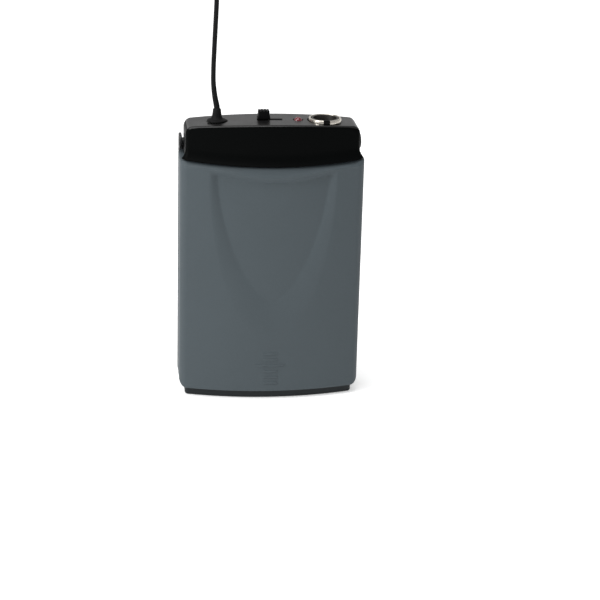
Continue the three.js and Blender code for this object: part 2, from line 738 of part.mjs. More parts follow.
function addLamp() {
  const top = roofHeight(lampX) + lampProud;
  const under = roofUnder - gap;
  const dome = [];
  for (let i = 0; i < domeSteps; i += 1) {
    const angle = (i / domeSteps) * Math.PI / 2;
    dome.push([lampRadius * Math.cos(angle), top - lampRadius + lampRadius * Math.sin(angle)]);
  }
  const lens = turned([
    [0, under - 1], [lampFlange, under - 1], [lampFlange, under], [lampRadius, under], ...dome, [0, top],
  ], lampX, 0, 16);
  place('lamp_lens', lens, 'lamp');
  for (const [name, x] of [['lamp_lead_left', lampX - 0.9], ['lamp_lead_right', lampX + 0.9]]) {
    const z = under - 1 - gap;
    const lead = block(x - 0.25, x + 0.25, -0.25, 0.25, z - 5, z)
      .add(block(x - 0.25, x + 0.25, -0.25, boardFrontY - gap, z - 5, z - 4.5));
    place(name, lead, 'steel');
  }
}

function addSocket() {
  const seat = socketSeat;
  const rim = socketRim;
  const foot = socketFoot;
  const ring = turned([
    [shellRadius + gap, seat + gap], [ringRadius, seat + gap], [ringRadius, rim - 0.5],
    [ringRadius - 0.5, rim], [shellRadius + gap, rim], [shellRadius + gap, seat + gap],
  ], socketX, 0);
  place('socket_ring', ring, 'nickel');
  const flangeTop = roofUnder - gap;
  const flangeFoot = flangeTop - 1.2;
  const shell = turned([
    [shellBore, foot], [shellRadius, foot], [shellRadius, flangeFoot], [shellFlange, flangeFoot],
    [shellFlange, flangeTop], [shellRadius, flangeTop], [shellRadius, rim - 0.1],
    [shellBore, rim - 0.1], [shellBore, foot],
  ], socketX, 0);
  const flat = shellRadius + 0.2;
  const reach = shellFlange + 1;
  const flats = block(socketX - reach, socketX + reach, -flat, flat, foot - 1, rim + 1);
  place('socket_shell', shell.intersect(flats), 'nickel');
  const insertTop = rim - insertRecess;
  const pins = [90, 210, 330].map((degrees) => {
    const angle = THREE.MathUtils.degToRad(degrees);
    return [socketX + pinCircle * Math.cos(angle), pinCircle * Math.sin(angle)];
  });
  const bores = pins.map(([x, y]) => rodZ(pinRadius + gap, x, y, foot - 1, insertTop + 1, 8));
  const insert = rodZ(shellBore - gap, socketX, 0, foot + 0.5, insertTop, 24).subtract(all(bores));
  place('socket_insert', insert, 'blackPlastic');
  pins.forEach(([x, y], i) => {
    place(`socket_pin_${i + 1}`, rodZ(pinRadius, x, y, foot - pinTail, rim - pinRecess, 8), 'brass');
  });
}

// ---------- belt clip ----------
function makeBeltClip() {
  const outer = halfWidth - gap / 2;
  const inner = outer - clipThickness;
  const strapFront = backY + clipStandoff;
  const strapBack = strapFront + clipThickness;
  const half = clipArmHeight / 2;
  const strapFoot = clipArmZ - clipStrapHeight;
  const arm = new THREE.Shape();
  arm.moveTo(clipPivotY, clipArmZ - half);
  arm.lineTo(strapFront, clipArmZ - half);
  arm.lineTo(strapFront, strapFoot);
  arm.lineTo(strapBack, strapFoot);
  arm.lineTo(strapBack, clipArmZ + half - clipBend);
  arm.absarc(strapBack - clipBend, clipArmZ + half - clipBend, clipBend, 0, Math.PI / 2, false);
  arm.lineTo(clipPivotY, clipArmZ + half);
  arm.absarc(clipPivotY, clipArmZ, half, Math.PI / 2, 1.5 * Math.PI, false);
  const strap = block(-outer + 0.2, outer - 0.2, strapFront, strapBack, strapFoot, clipArmZ);
  const middle = (strapFront + strapBack) / 2;
  const far = backY + beltRoom + clipThickness / 2;
  const path = new THREE.Path();
  path.moveTo(middle, clipArmZ - 1);
  path.lineTo(middle, strapFoot + 1.5);
  path.bezierCurveTo(middle, strapFoot - 2, far, strapFoot - 2, far, strapFoot - 7);
  path.lineTo(far, clipFoot + 14);
  path.bezierCurveTo(far, clipFoot + 7, middle, clipFoot + 8, middle, clipFoot + 4);
  path.quadraticCurveTo(middle, clipFoot + 1.5, middle + 2.2, clipFoot);
  const strip = stripOutline(path.getPoints(8), clipThickness);
  const tongue = sidePrism(strip, -clipWidth / 2, clipWidth / 2);
  const pinFoot = capHalf - capWall + gap;
  const pinHead = inner + 0.3;
  const pins = [
    rodX(pivotRadius, clipPivotY, clipArmZ, pinFoot, pinHead),
    rodX(pivotRadius, clipPivotY, clipArmZ, -pinHead, -pinFoot),
  ];
  return all([strap, sidePrism(arm, inner, outer), sidePrism(arm, -outer, -inner), tongue, ...pins]);
}

// ---------- screws ----------
function addCaseScrews() {
  const headY = backY - screwHeadHeight + gap;
  const crossY = headY + 0.6;
  let number = 1;
  for (const x of [-caseScrewX, caseScrewX]) {
    for (const z of caseScrewZ) {
      const screw = rodY(screwHead, x, z, headY, headY + screwHeadHeight - gap)
        .add(rodY(screwRadius, x, z, headY - screwLength, headY + 0.2))
        .subtract(block(x - crossArm, x + crossArm, crossY, backY + 1, z - crossHalf, z + crossHalf))
        .subtract(block(x - crossHalf, x + crossHalf, crossY, backY + 1, z - crossArm, z + crossArm));
      place(`case_screw_${number}`, screw, 'steel');
      number += 1;
    }
  }
}

place('top_cap', makeTopCap(), 'blackShell');
place('front_cover', makeFrontCover(), 'greyShell');
place('rear_case', makeRearCase(), 'greyShell');
place('base_plate', makeBasePlate(), 'blackShell');
addBattery();
addBoard();
addAntenna();
addSwitch();
addLamp();
addSocket();
place('belt_clip', makeBeltClip(), 'spring');
addCaseScrews();

export default group;
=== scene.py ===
"""Looks of a wireless bodypack transmitter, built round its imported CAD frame.

Sizes are in millimetres in the frame's own axes: +Z up, the front faces -Y, the origin at
the centre of the base. Meshes are scaled to metres as they are made.
"""

import math

import bmesh
import bpy
import numpy as np
from mathutils import Matrix, Vector


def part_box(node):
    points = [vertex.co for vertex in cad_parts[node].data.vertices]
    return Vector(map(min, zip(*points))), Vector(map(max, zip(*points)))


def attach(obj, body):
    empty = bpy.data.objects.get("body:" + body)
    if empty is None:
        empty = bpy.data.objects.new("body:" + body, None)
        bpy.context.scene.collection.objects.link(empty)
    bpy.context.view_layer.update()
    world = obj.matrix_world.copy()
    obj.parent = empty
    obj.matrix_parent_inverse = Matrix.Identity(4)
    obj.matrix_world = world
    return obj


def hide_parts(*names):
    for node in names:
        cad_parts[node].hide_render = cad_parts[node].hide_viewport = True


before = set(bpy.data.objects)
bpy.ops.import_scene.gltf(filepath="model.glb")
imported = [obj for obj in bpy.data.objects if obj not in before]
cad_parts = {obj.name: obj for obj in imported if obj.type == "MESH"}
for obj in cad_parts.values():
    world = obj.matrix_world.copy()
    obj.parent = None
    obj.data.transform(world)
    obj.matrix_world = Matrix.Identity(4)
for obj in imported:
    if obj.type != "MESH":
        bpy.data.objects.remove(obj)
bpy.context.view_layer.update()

MM = 0.001

# ---------- driving dimensions, in millimetres ----------
GAP = 0.3
HALF_WIDTH = 32.0
FRONT_Y = -11.1
BACK_Y = 11.1
FRONT_BULGE = 5.2
FRONT_CORNER = 3.5
BACK_CORNER = 3.0
SPLIT_Y = 3.0                  # where the front cover meets the rear case
WALL = 1.8
SHELL_TOP = 86.8
SHELL_SAG = 1.6
SHELL_FOOT = 3.2
FOOT_RADIUS = 2.6
BASE_INSET = WALL + GAP
BASE_HEIGHT = 5.0

CAP_TOP = 98.2
CAP_CROWN = 1.6
CAP_INSET = 1.8
CAP_WALL = 1.6
CAP_HALF = HALF_WIDTH - CAP_INSET
CAP_SHOULDER = 3.0
ROOF_UNDER = 96.2
FLARE_HEIGHT = 4.6
FLARE_LIP = 0.25
EDGE_ROUNDING = 1.1            # of the cap's upper edge, front and back
POCKET_Y = -4.6                # the cap's sides stand in for the clip's arms from here back
BOOT_RADIUS, RING_RADIUS, LAMP_RADIUS = 3.4, 5.75, 1.5
SLOT_HALF_X, SLOT_HALF_Y = 4.3, 1.2
KNOB_TRAVEL, KNOB_HEIGHT = 4.2, 3.1
GROOVE_PITCH, GROOVE_HALF, GROOVE_DEPTH = 1.1, 0.26, 0.3
POCKET_TOP = 104

FRONT_RADIUS = (HALF_WIDTH ** 2 + FRONT_BULGE ** 2) / (2 * FRONT_BULGE)
FRONT_CENTRE_Y = FRONT_Y + FRONT_RADIUS


def box_mm(node):
    low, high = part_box(node)
    return np.array(low) / MM, np.array(high) / MM


def centre_mm(node):
    low, high = box_mm(node)
    return (low + high) / 2


# ---------- meshes ----------
def make_object(name, verts, faces, materials, face_slots=None, smooth=35):
    mesh = bpy.data.meshes.new(name)
    mesh.from_pydata([tuple(float(c) * MM for c in v) for v in verts], [], faces)
    for material in materials:
        mesh.materials.append(material)
    if face_slots is not None:
        mesh.polygons.foreach_set("material_index", face_slots)
    obj = bpy.data.objects.new(name, mesh)
    bpy.context.scene.collection.objects.link(obj)
    tidy_mesh(obj, smooth)
    return obj


def tidy_mesh(obj, smooth=35):
    bm = bmesh.new()
    bm.from_mesh(obj.data)
    bmesh.ops.remove_doubles(bm, verts=bm.verts, dist=1e-7)
    bmesh.ops.recalc_face_normals(bm, faces=bm.faces)
    bm.to_mesh(obj.data)
    bm.free()
    obj.data.shade_smooth()
    obj.data.set_sharp_from_angle(angle=math.radians(smooth))


def settle(obj, body, slot, *nodes):
    """The piece moves with its body, and stands for its CAD nodes."""
    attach(obj, body)
    if nodes:
        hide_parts(*nodes)
    return obj


def apply_modifier(obj, name):
    bpy.context.view_layer.objects.active = obj
    with bpy.context.temp_override(object=obj, active_object=obj, selected_objects=[obj]):
        bpy.ops.object.modifier_apply(modifier=name)


def cut(obj, *cutters):
    """Cuts the cutters out of obj, and removes them."""
    for cutter in cutters:
        step = obj.modifiers.new("cut", "BOOLEAN")
        step.operation = "DIFFERENCE"
        step.solver = "EXACT"
        step.object = cutter
        apply_modifier(obj, step.name)
        bpy.data.objects.remove(cutter)
    tidy_mesh(obj)
    return obj


def join_into(obj, *others):
    for other in others:
        bm = bmesh.new()
        bm.from_mesh(obj.data)
        bm.from_mesh(other.data)
        bm.to_mesh(obj.data)
        bm.free()
        bpy.data.objects.remove(other)
    tidy_mesh(obj)
    return obj


def ring_faces(rows, columns, wrap_rows=False, wrap_columns=True):
    """Quads between rows of points, each row holding the same number of columns."""
    faces = []
    for i in range(rows if wrap_rows else rows - 1):
        here, there = i * columns, ((i + 1) % rows) * columns
        for j in range(columns if wrap_columns else columns - 1):
            k = (j + 1) % columns
            faces.append((here + j, here + k, there + k, there + j))
    return faces


def lofted(name, rings, materials, slots=None, smooth=35):
    """A closed body through rings of points, with both ends filled."""
    count = len(rings[0])
    verts = np.concatenate(rings)
    faces = ring_faces(len(rings), count)
    face_slots = [0] * len(faces)
    if slots is not None:
        face_slots = [slots[i] for i in range(len(rings) - 1) for _ in range(count)]
    last = (len(rings) - 1) * count
    faces += [tuple(range(count - 1, -1, -1)), tuple(range(last, last + count))]
    face_slots += [face_slots[0], face_slots[-1]]
    return make_object(name, verts, faces, materials, face_slots, smooth)


def circle(x, y, z, radius, count=48, axis="z"):
    """Points round an axis through x, y, z."""
    turn = np.linspace(0, 2 * math.pi, count, endpoint=False)
    across, upward, level = radius * np.cos(turn), radius * np.sin(turn), np.zeros(count)
    offset = {"x": (level, across, upward), "y": (across, level, upward), "z": (across, upward, level)}
    return np.stack(offset[axis], 1) + (x, y, z)


def turned(name, x, y, profile, materials, slots=None, count=48, closed=False):
    """A profile of (radius, height) turned about an upright axis. A closed profile is a ring."""
    rings = [circle(x, y, z, max(r, 0.004), count) for r, z in profile]
    if not closed:
        return lofted(name, rings, materials, slots)
    faces = ring_faces(len(rings), count, wrap_rows=True)
    return make_object(name, np.concatenate(rings), faces, materials)


def rounded_profile(points, radius, steps=4):
    """A closed profile with each corner rounded."""
    rounded = []
    count = len(points)
    for i, point in enumerate(points):
        p = np.array(point, float)
        before = np.array(points[i - 1], float) - p
        after = np.array(points[(i + 1) % count], float) - p
        reach = min(radius, 0.45 * np.linalg.norm(before), 0.45 * np.linalg.norm(after))
        a = p + before / np.linalg.norm(before) * reach
        b = p + after / np.linalg.norm(after) * reach
        for t in np.linspace(0, 1, steps):
            rounded.append(tuple((1 - t) ** 2 * a + 2 * t * (1 - t) * p + t ** 2 * b))
    return rounded


def rounded_rect(half_x, half_y, radius, steps=5):
    points = []
    for sx, sy, start in ((1, 1, 0), (-1, 1, 90), (-1, -1, 180), (1, -1, 270)):
        for turn in np.linspace(start, start + 90, steps):
            angle = math.radians(turn)
            points.append((sx * (half_x - radius) + radius * math.cos(angle),
                           sy * (half_y - radius) + radius * math.sin(angle)))
    return np.array(points)


def tube(name, centres, radii, materials, sides=16, smooth=60):
    """A round tube along a line of points, with domed ends."""
    centres = np.array(centres, float)
    along = np.gradient(centres, axis=0)
    along /= np.linalg.norm(along, axis=1)[:, None]
    side = np.cross(along[0], (0.31, 0.85, 0.42))
    side /= np.linalg.norm(side)
    turn = np.linspace(0, 2 * math.pi, sides, endpoint=False)[:, None]
    rings = []

    def add(centre, radius):
        rings.append(centre + radius * (np.cos(turn) * side + np.sin(turn) * up))

    def dome(centre, radius, outward, shares):
        for share in shares:
            lift = (1 - share) * 0.6 * radius
            add(centre + outward * lift, radius * math.sin(share * math.pi / 2))

    for i, centre in enumerate(centres):
        side = side - along[i] * np.dot(side, along[i])
        side /= np.linalg.norm(side)
        up = np.cross(along[i], side)
        if i == 0:
            dome(centre, radii[0], -along[0], (0.08, 0.6))
        add(centre, radii[i])
        if i == len(centres) - 1:
            dome(centre, radii[i], along[i], (0.6, 0.08))
    return lofted(name, rings, materials, smooth=smooth)


def refined(node, width, materials, body, slot, segments=2):
    """A CAD node's own shape with its edges rounded."""
    mesh = bpy.data.meshes.new(node + "_look")
    obj = bpy.data.objects.new(node + "_look", mesh)
    bpy.context.scene.collection.objects.link(obj)
    bm = bmesh.new()
    bm.from_mesh(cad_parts[node].data)
    bmesh.ops.remove_doubles(bm, verts=bm.verts, dist=1e-6)
    bmesh.ops.dissolve_limit(
        bm, angle_limit=math.radians(2), verts=bm.verts, edges=bm.edges,
        use_dissolve_boundaries=False)
    sharp = math.radians(30)
    edges = [e for e in bm.edges if len(e.link_faces) == 2 and e.calc_face_angle(0) > sharp]
    bmesh.ops.bevel(
        bm, geom=edges, offset=width * MM, segments=segments, profile=0.5, affect="EDGES",
        clamp_overlap=True)
    bm.to_mesh(mesh)
    bm.free()
    for material in materials:
        mesh.materials.append(material)
    for polygon in mesh.polygons:
        polygon.material_index = 0
    tidy_mesh(obj, 40)
    return settle(obj, body, slot, node)


def box_piece(name, low, high, radius, materials):
    """A block with rounded upright edges and softened top and bottom."""
    low, high = np.array(low, float), np.array(high, float)
    half = (high - low) / 2
    mid = (high + low) / 2
    rings = []
    slight = 0.3 * radius
    for inset, z in ((radius, low[2]), (slight, low[2] + slight), (0, low[2] + radius),
                     (0, high[2] - radius), (slight, high[2] - slight), (radius, high[2])):
        outline = rounded_rect(half[0] - inset, half[1] - inset, radius * 1.02)
        rings.append(np.column_stack([outline + mid[:2], np.full(len(outline), z)]))
    return lofted(name, rings, materials)


# ---------- materials ----------
class Finish:
    """A node material whose patterns are set out in the piece's own coordinates."""

    def __init__(self, name, colour, roughness, metallic=0.0, specular=0.5):
        self.material = bpy.data.materials.new(name)
        self.material.use_nodes = True
        self.tree = self.material.node_tree
        self.shader = next(n for n in self.tree.nodes if n.type == "BSDF_PRINCIPLED")
        self.shader.inputs["Metallic"].default_value = metallic
        self.shader.inputs["Specular IOR Level"].default_value = specular
        self.place = self.node("ShaderNodeTexCoord").outputs["Object"]
        self.colour = self.rgb(colour)
        self.roughness = self.number(roughness)
        self.height = None
        self.reach = 0.0

    def node(self, kind, **values):
        made = self.tree.nodes.new(kind)
        for key, value in values.items():
            setattr(made, key, value)
        return made

    def link(self, source, target):
        self.tree.links.new(source, target)

    def rgb(self, colour):
        made = self.node("ShaderNodeRGB")
        made.outputs[0].default_value = (*colour, 1)
        return made.outputs[0]

    def number(self, value):
        made = self.node("ShaderNodeValue")
        made.outputs[0].default_value = value
        return made.outputs[0]

    def math(self, operation, a, b, c=None):
        made = self.node("ShaderNodeMath", operation=operation)
        for socket, value in zip(made.inputs, (a, b, c)):
            if value is None:
                continue
            if isinstance(value, (int, float)):
                socket.default_value = value
            else:
                self.link(value, socket)
        return made.outputs[0]

    def stretched(self, stretch):
        made = self.node("ShaderNodeMapping")
        made.inputs["Scale"].default_value = stretch
        self.link(self.place, made.inputs["Vector"])
        return made.outputs[0]

    def noise(self, size, detail=3, rough=0.55, stretch=None):
        """Noise whose features are about size millimetres across, from 0 to 1."""
        made = self.node("ShaderNodeTexNoise")
        made.inputs["Scale"].default_value = 1 / (size * MM)
        made.inputs["Detail"].default_value = detail
        made.inputs["Roughness"].default_value = rough
        self.link(self.stretched(stretch) if stretch else self.place, made.inputs["Vector"])
        return made.outputs["Fac"]

    def ramp(self, source, low, high):
        made = self.node("ShaderNodeMapRange", interpolation_type="SMOOTHSTEP")
        made.inputs["From Min"].default_value = low
        made.inputs["From Max"].default_value = high
        self.link(source, made.inputs["Value"])
        return made.outputs["Result"]

    def tint(self, mask, colour, amount=1.0):
        """Lays a colour over the surface where the mask is 1."""
        mix = self.node("ShaderNodeMix", data_type="RGBA")
        self.link(self.math("MULTIPLY", mask, amount), mix.inputs["Factor"])
        self.link(self.colour, mix.inputs["A"])
        mix.inputs["B"].default_value = (*colour, 1)
        self.colour = mix.outputs["Result"]
        return self

    def mottle(self, size, amount, detail=3, stretch=None):
        """Lightens and darkens the colour by a share."""
        pattern = self.noise(size, detail, stretch=stretch)
        shade = self.math("MULTIPLY_ADD", pattern, 2 * amount, 1 - amount)
        scale = self.node("ShaderNodeVectorMath", operation="SCALE")
        self.link(self.colour, scale.inputs[0])
        self.link(shade, scale.inputs["Scale"])
        self.colour = scale.outputs[0]
        return self

    def vary_gloss(self, size, amount, stretch=None, detail=3):
        pattern = self.noise(size, detail, stretch=stretch)
        shift = self.math("MULTIPLY_ADD", pattern, 2 * amount, -amount)
        self.roughness = self.math("ADD", self.roughness, shift)
        return self

    def emboss(self, pattern, depth):
        """Adds a pattern to the surface's relief, depth in millimetres."""
        raised = self.math("MULTIPLY", pattern, depth)
        self.height = raised if self.height is None else self.math("ADD", self.height, raised)
        return self

    def wear(self, colour, amount, low=0.56, high=0.68):
        """Lighter, rubbed edges."""
        edge = self.ramp(self.node("ShaderNodeNewGeometry").outputs["Pointiness"], low, high)
        broken = self.math("MULTIPLY", edge, self.noise(1.8, 4))
        return self.tint(broken, colour, amount)

    def done(self):
        self.link(self.colour, self.shader.inputs["Base Color"])
        self.link(self.roughness, self.shader.inputs["Roughness"])
        if self.height is not None:
            bump = self.node("ShaderNodeBump")
            bump.inputs["Strength"].default_value = 1.0
            bump.inputs["Distance"].default_value = MM
            self.link(self.height, bump.inputs["Height"])
            self.link(bump.outputs[0], self.shader.inputs["Normal"])
        return self.material


def plastic(name, colour, roughness, grain, depth, specular,
            wear_colour=None, wear=0.0, mottle=0.05):
    """Moulded plastic with a spark-eroded grain of that size and depth."""
    finish = Finish(name, colour, roughness, specular=specular)
    finish.mottle(22, mottle).mottle(0.9, 0.04, 2)
    finish.vary_gloss(6, 0.06).vary_gloss(0.5, 0.05)
    finish.emboss(finish.noise(grain, 2, 0.7), depth)
    finish.emboss(finish.noise(9, 2), 0.03)
    if wear_colour is not None:
        finish.wear(wear_colour, wear)
    return finish.done()


def metal(name, colour, roughness, stretch=(1, 1, 12), mark=0.25, depth=0.002):
    """Plated or drawn metal with fine lines along its making, and dull patches."""
    finish = Finish(name, colour, roughness, metallic=1.0)
    finish.mottle(3.5, 0.08).mottle(0.6, 0.05, 2)
    finish.vary_gloss(2.2, 0.08)
    lines = finish.noise(mark, 3, 0.6, stretch)
    finish.vary_gloss(mark, 0.06, stretch)
    finish.emboss(lines, depth)
    return finish.done()


GREY = (0.055, 0.069, 0.077)
grey_plastic = plastic(
    "grey_shell_plastic", GREY, 0.55, 0.28, 0.012, 0.22, (0.16, 0.18, 0.19), 0.30)
# The cap's walls and roof are one black plastic in two colours: the walls are painted darker as painted
# shade, and the roof is painted lighter as painted light from above.
shaded_cap_black = plastic(
    "black_cap_wall_painted_shade", (0.0016, 0.0019, 0.0019), 0.42, 0.26, 0.008, 0.02, (0.02, 0.022, 0.023), 0.35)
lit_cap_black = plastic(
    "black_cap_roof_painted_light", (0.007, 0.007, 0.0072), 0.32, 0.24, 0.006, 0.30)
black_base = plastic(
    "black_base_plastic", (0.006, 0.009, 0.0105), 0.5, 0.26, 0.010, 0.25, (0.05, 0.055, 0.06), 0.4)
inner_plastic = plastic(
    "black_inner_plastic", (0.012, 0.0125, 0.013), 0.55, 0.35, 0.012, 0.35)
knob_plastic = plastic(
    "knob_plastic", (0.0022, 0.0022, 0.0024), 0.42, 0.2, 0.006, 0.06)
chip_plastic = plastic(
    "chip_plastic", (0.012, 0.012, 0.013), 0.48, 0.12, 0.006, 0.4)
rubber = plastic(
    "antenna_rubber", (0.0035, 0.0037, 0.004), 0.62, 0.16, 0.010, 0.12)
sleeve_plastic = plastic(
    "capacitor_sleeve_film", (0.016, 0.018, 0.026), 0.3, 0.6, 0.004, 0.5)
cell_blue = plastic(
    "cell_jacket_film", (0.016, 0.045, 0.135), 0.26, 3.0, 0.004, 0.5, mottle=0.03)
cell_pale = plastic(
    "cell_jacket_band", (0.42, 0.43, 0.44), 0.3, 3.0, 0.004, 0.5, mottle=0.03)
# Nickel painted dark as painted shade inside the socket's well.
socket_nickel_painted_shade = metal("socket_nickel_painted_shade", (0.10, 0.095, 0.09), 0.42)
nickel = metal("nickel_plate", (0.70, 0.66, 0.59), 0.24)
steel = metal("zinc_steel", (0.50, 0.51, 0.53), 0.34, (3, 3, 3), 0.5, 0.004)
brass = metal("plated_brass", (0.72, 0.52, 0.22), 0.27)


def make_clip_steel():
    """Spring steel under a thin black coat, rubbed through in places."""
    finish = Finish("coated_spring_steel", (0.010, 0.0105, 0.011), 0.38, specular=0.4)
    finish.mottle(8, 0.15).vary_gloss(3, 0.1).vary_gloss(0.4, 0.06, (1, 8, 1))
    finish.emboss(finish.noise(0.3, 3), 0.006)
    finish.wear((0.16, 0.165, 0.17), 0.45)
    return finish.done()


def make_lamp_resin():
    finish = Finish("red_lamp_resin", (0.16, 0.012, 0.022), 0.16)
    finish.mottle(0.7, 0.15).vary_gloss(0.5, 0.05)
    finish.emboss(finish.noise(0.8, 2), 0.004)
    finish.shader.inputs["Transmission Weight"].default_value = 0.2
    finish.shader.inputs["Coat Weight"].default_value = 0.4
    finish.shader.inputs["Coat Roughness"].default_value = 0.08
    return finish.done()


def make_board_laminate():
    """Green solder mask over copper tracks and plated holes."""
    finish = Finish("board_laminate", (0.012, 0.065, 0.030), 0.34)
    lanes = []
    for stretch, size in (((1, 0.02, 0.05), 1.1), ((0.05, 0.02, 1), 1.4)):
        bands = finish.noise(size, 0, 0.5, stretch)
        lanes.append(finish.ramp(finish.math("PINGPONG", bands, 0.06), 0.022, 0.030))
    areas = finish.ramp(finish.noise(7, 1), 0.47, 0.49)
    first = finish.math("MULTIPLY", lanes[0], areas)
    second = finish.math("MULTIPLY", lanes[1], finish.math("SUBTRACT", 1.0, areas))
    tracks = finish.math("MAXIMUM", first, second)
    finish.tint(tracks, (0.03, 0.14, 0.06), 0.8)
    holes = finish.node("ShaderNodeTexVoronoi")
    holes.inputs["Scale"].default_value = 1 / (3.1 * MM)
    finish.link(finish.place, holes.inputs["Vector"])
    pads = finish.math("SUBTRACT", 1.0, finish.ramp(holes.outputs["Distance"], 0.10, 0.13))
    finish.tint(pads, (0.50, 0.42, 0.22), 0.9)
    finish.mottle(5, 0.06).vary_gloss(2, 0.05)
    finish.emboss(tracks, 0.03)
    finish.emboss(finish.noise(0.25, 2), 0.003)
    return finish.done()


clip_steel = make_clip_steel()
lamp_resin = make_lamp_resin()
board_laminate = make_board_laminate()


# ---------- outlines of the case ----------
def arc_path(x, y, radius, start, end, steps):
    """Points of an arc with their outward normals, as rows of x, y, nx, ny."""
    turn = np.linspace(start, end, steps)
    nx, ny = np.cos(turn), np.sin(turn)
    return np.stack([x + radius * nx, y + radius * ny, nx, ny], 1)


def line_path(start, end, normal, steps):
    t = np.linspace(0, 1, steps)[:, None]
    points = np.array(start) * (1 - t) + np.array(end) * t
    return np.hstack([points, np.tile(normal, (steps, 1))])


def case_paths(split, front_steps=150, corner_steps=10, inset=0.0, end_inset=None):
    """The case's outline, moved in by inset (end_inset at its two sides), as its front part
    and its rear part, either side of split."""
    end_inset = inset if end_inset is None else end_inset
    side, back = HALF_WIDTH - end_inset, BACK_Y - inset
    radius = FRONT_RADIUS - inset
    corner = max(FRONT_CORNER - (inset + end_inset) / 2, 0.5)
    rear_corner = max(BACK_CORNER - (inset + end_inset) / 2, 0.5)
    corner_x = side - corner
    reach = math.sqrt((radius - corner) ** 2 - corner_x ** 2)
    corner_y = FRONT_CENTRE_Y - reach
    lean = math.atan2(corner_x, reach)
    down = -math.pi / 2
    rear_x, rear_y = side - rear_corner, back - rear_corner
    front = np.vstack([
        line_path((-side, SPLIT_Y - split), (-side, corner_y), (-1, 0), 8)[:-1],
        arc_path(-corner_x, corner_y, corner, -math.pi, down - lean, corner_steps)[:-1],
        arc_path(0, FRONT_CENTRE_Y, radius, down - lean, down + lean, front_steps)[:-1],
        arc_path(corner_x, corner_y, corner, down + lean, 0, corner_steps)[:-1],
        line_path((side, corner_y), (side, SPLIT_Y - split), (1, 0), 8),
    ])
    rear = np.vstack([
        line_path((side, SPLIT_Y + split), (side, rear_y), (1, 0), 6)[:-1],
        arc_path(rear_x, rear_y, rear_corner, 0, math.pi / 2, corner_steps)[:-1],
        line_path((rear_x, back), (-rear_x, back), (0, 1), 70)[:-1],
        arc_path(-rear_x, rear_y, rear_corner, math.pi / 2, math.pi, corner_steps)[:-1],
        line_path((-side, rear_y), (-side, SPLIT_Y + split), (-1, 0), 6),
    ])
    return front, rear


def case_ring(inset, height, end_inset=None):
    """The whole outline moved in by inset, at a height that may follow x."""
    front, rear = case_paths(0, 110, 12, inset, end_inset)
    points = np.vstack([front[:-1], rear[:-1]])[:, :2]
    z = height(points[:, 0]) if callable(height) else height
    return np.column_stack([points, np.broadcast_to(z, len(points))])


def moved_in(path, inset, z):
    """The path's points, moved in by inset, at height z."""
    xy = path[:, :2] - path[:, 2:] * np.reshape(inset, (-1, 1))
    return np.column_stack([xy, np.broadcast_to(z, len(path))])


def shell_top(x):
    return SHELL_TOP - SHELL_SAG * (1 - (x / HALF_WIDTH) ** 2)


def shell_foot(x):
    """The shells' lower edge: level, with its corners rounded as seen from the front."""
    over = np.clip(np.abs(x) - (HALF_WIDTH - FOOT_RADIUS), 0, FOOT_RADIUS)
    return SHELL_FOOT + FOOT_RADIUS - np.sqrt(np.maximum(FOOT_RADIUS ** 2 - over ** 2, 0))


def roof_height(x):
    return CAP_TOP + CAP_CROWN * (1 - (x / CAP_HALF) ** 2)


def make_shell(name, path, rows, relief):
    """A case half: its outer face with relief, softened edges, and a plain inner face."""
    x = path[:, 0]
    foot, top = shell_foot(x), shell_top(x)
    edge = 0.45
    end = np.zeros(len(path))
    end[[0, -1]] = 0.3
    section = [(edge, foot), (0.3 * edge, foot + 0.3 * edge)]
    for v in np.linspace(0, 1, rows):
        z = foot + edge + v * (top - foot - 2 * edge)
        section.append((relief(x, z), z))
    section += [(0.3 * edge + relief(x, top), top - 0.3 * edge), (edge + relief(x, top), top),
                (WALL, top), (WALL, foot)]
    rings = [moved_in(path, inset + end * (index < len(section) - 2), z)
             for index, (inset, z) in enumerate(section)]
    count = len(path)
    faces = ring_faces(len(rings), count, wrap_rows=True, wrap_columns=False)
    faces.append(tuple(i * count for i in range(len(rings))))
    faces.append(tuple(i * count + count - 1 for i in range(len(rings) - 1, -1, -1)))
    return make_object(name, np.concatenate(rings), faces, [grey_plastic])


# ---------- front cover ----------
TONGUE_HALF, TONGUE_TIP = 22.0, 22.4
FLOOR_HALF, FLOOR_TIP = 19.8, 36.6
TONGUE_TOP = 83.0
TONGUE_DEPTH = 1.3
RIDGE_PROUD = 0.26
BEVEL_DEPTH = 1.15             # how far the shell's top edge stands back above the ridge


def ridge_height(x):
    """The rounded ridge across the cover, low in the middle and high at the sides."""
    t = np.clip(np.abs(x) / 28.5, 0, 1)
    return 81.9 + 3.1 * (3 * t ** 2 - 2 * t ** 3) ** 1.05


def outline_distance(curve, x, z):
    """The distance from each point to the nearest point of an outline."""
    flat = np.stack([x.ravel(), z.ravel()], 1)
    nearest = np.full(len(flat), np.inf)
    for point in curve:
        nearest = np.minimum(nearest, np.hypot(*(flat - point).T))
    return nearest.reshape(x.shape)


def tongue_curve(half, tip, shape, top_drop):
    """The tongue's closed outline and its half width at a height."""
    def half_at(z):
        s = np.clip((z - tip) / (TONGUE_TOP - tip), 0, 1)
        return half * shape(s)

    zs = np.linspace(0, 1, 160) ** 1.8 * (TONGUE_TOP - tip) + tip
    right = [(half_at(z), z) for z in zs if z < ridge_height(half_at(z)) - top_drop]
    reach = right[-1][0]
    top = [(x, ridge_height(x) - top_drop) for x in np.linspace(reach, -reach, 90)]
    left = [(-x, z) for x, z in reversed(right)]
    return np.array(right + top + left), half_at


tongue_outer, outer_half = tongue_curve(
    TONGUE_HALF, TONGUE_TIP, lambda s: np.sqrt(np.maximum(1 - (1 - s) ** 2, 0)), 0.5)
tongue_inner, inner_half = tongue_curve(
    FLOOR_HALF, FLOOR_TIP, lambda s: np.maximum(1 - (1 - s) ** 1.6, 0) ** 0.62, 2.3)


